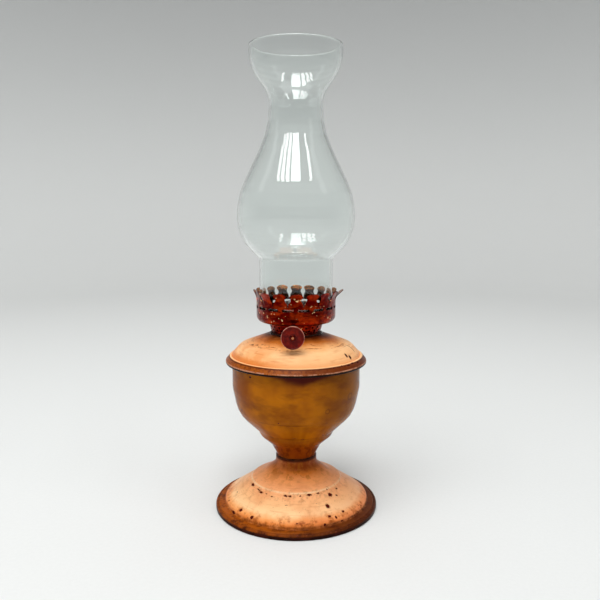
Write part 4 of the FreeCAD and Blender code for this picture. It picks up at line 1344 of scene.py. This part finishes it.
tinplate = dull_metal("tinplate", (120, 118, 110), (176, 172, 162), 0.4)
steel = dull_metal("steel", (96, 94, 92), (150, 148, 144), 0.35)
KEPT_NODES = {
    "base_bridge": tinplate, "stem_stud": steel, "stem_washer": steel, "stem_nut": steel,
    "burner_collar": collar_brass, "burner_stub": burner_brass, "air_plate": collar_brass,
    "flame_dome": collar_brass, "wick_tube": burner_brass, "winder_bracket": burner_brass,
    "spur_wheels": winder_brass}
for name, finish in KEPT_NODES.items():
    for material_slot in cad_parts[name].material_slots:
        material_slot.material = finish
print(len(KEPT_NODES), "nodes keep their shape")

# %% [markdown]
# ## Floor and light
#
# The lamp stands on a pale floor. A plane would end in a horizon behind the glass, so the floor is turned
# like the lamp itself and curves up all round. In front, where the window hangs, its paint fades to grey as
# a
# painted dim room: glossy things need something dark to mirror, or they look like chalk. Higher up it is
# greyed as painted shade. The main light is a high window of narrow panes. It shows in the glass as a group
# of bars: on the front of the bulb, and mirrored where the back of the flare and of the bulb look up. A dim
# panel on each side draws faint lines on the glass, and a wide, weak one overhead fills the shadows.

# %% Sweep, window and sky


def pale_paper():
    """Pale floor and back: grey paint in front as a dim room, and greyer higher up as painted shade."""
    finish, place = new_finish("pale_paper")
    forward = (place.part("Y") * -1.0).step(-900.0, 700.0)
    colour = coated(
        blend(cloud(place, 2.0), (222, 224, 223), (228, 230, 229)),
        # Painted dim room in front, and painted shade higher up.
        (forward * place.off_axis().step(700.0, 1400.0), 1.0, (146, 148, 150)),
        (place.part("Z").step(100.0, 900.0), 0.5, (110, 112, 114)))
    fill(finish.node_tree.nodes["Principled BSDF"], {"Base Color": colour, "Roughness": 0.85})
    return finish


sweep = turned("sweep", [
    (0.0, -10.0), (1500.0, -10.0, 500.0), (1600.0, 1000.0), (1590.0, 1000.0), (1490.0, 0.0, 500.0),
    (0.0, 0.0)], pale_paper(), turns=128, step=60.0)

LAMP_MIDDLE = Vector((0.0, 0.0, 0.19))
WINDOW_PANES = [
    (-0.79, 0.10, 0.12, 0.68), (-0.58, 0.03, 0.15, 0.84), (-0.35, 0.0, 0.16, 0.90), (0.0, 0.0, 0.40, 0.90),
    (0.66, 0.08, 0.12, 0.74)]
SIDE_PANE = [(0.0, 0.0, 0.30, 0.90)]
WIDE_PANE = [(0.0, 0.0, 1.6, 1.2)]


def hang_panes(name, middle, panes, power):
    """A row of bright panes that face the lamp: aside, up, width and height of each in metres."""
    turn = (LAMP_MIDDLE - Vector(middle)).to_track_quat("-Z", "Y")
    for number, (aside, up, wide, high) in enumerate(panes):
        light = bpy.data.lights.new(f"{name}_{number}", "AREA")
        light.shape = "RECTANGLE"
        light.size = wide
        light.size_y = high
        light.energy = power * wide * high
        pane = placed_object(light.name, light)
        pane.location = Vector(middle) + turn @ Vector((aside, up, 0.0))
        pane.rotation_euler = turn.to_euler()


hang_panes("window", (0.0, -0.55, 1.37), WINDOW_PANES, 24.0)
hang_panes("right_panel", (1.15, -0.50, 1.25), SIDE_PANE, 2.0)
hang_panes("left_panel", (-1.20, -0.10, 1.25), SIDE_PANE, 2.0)
hang_panes("overhead", (0.0, 0.2, 1.9), WIDE_PANE, 3.0)

sky = bpy.data.worlds.new("sky")
sky.use_nodes = True
fill(sky.node_tree.nodes["Background"], {"Color": (1.0, 0.99, 0.97, 1.0), "Strength": 0.36})
scene.world = sky
scene.view_settings.view_transform = "Standard"
print(len(WINDOW_PANES), "bright panes")
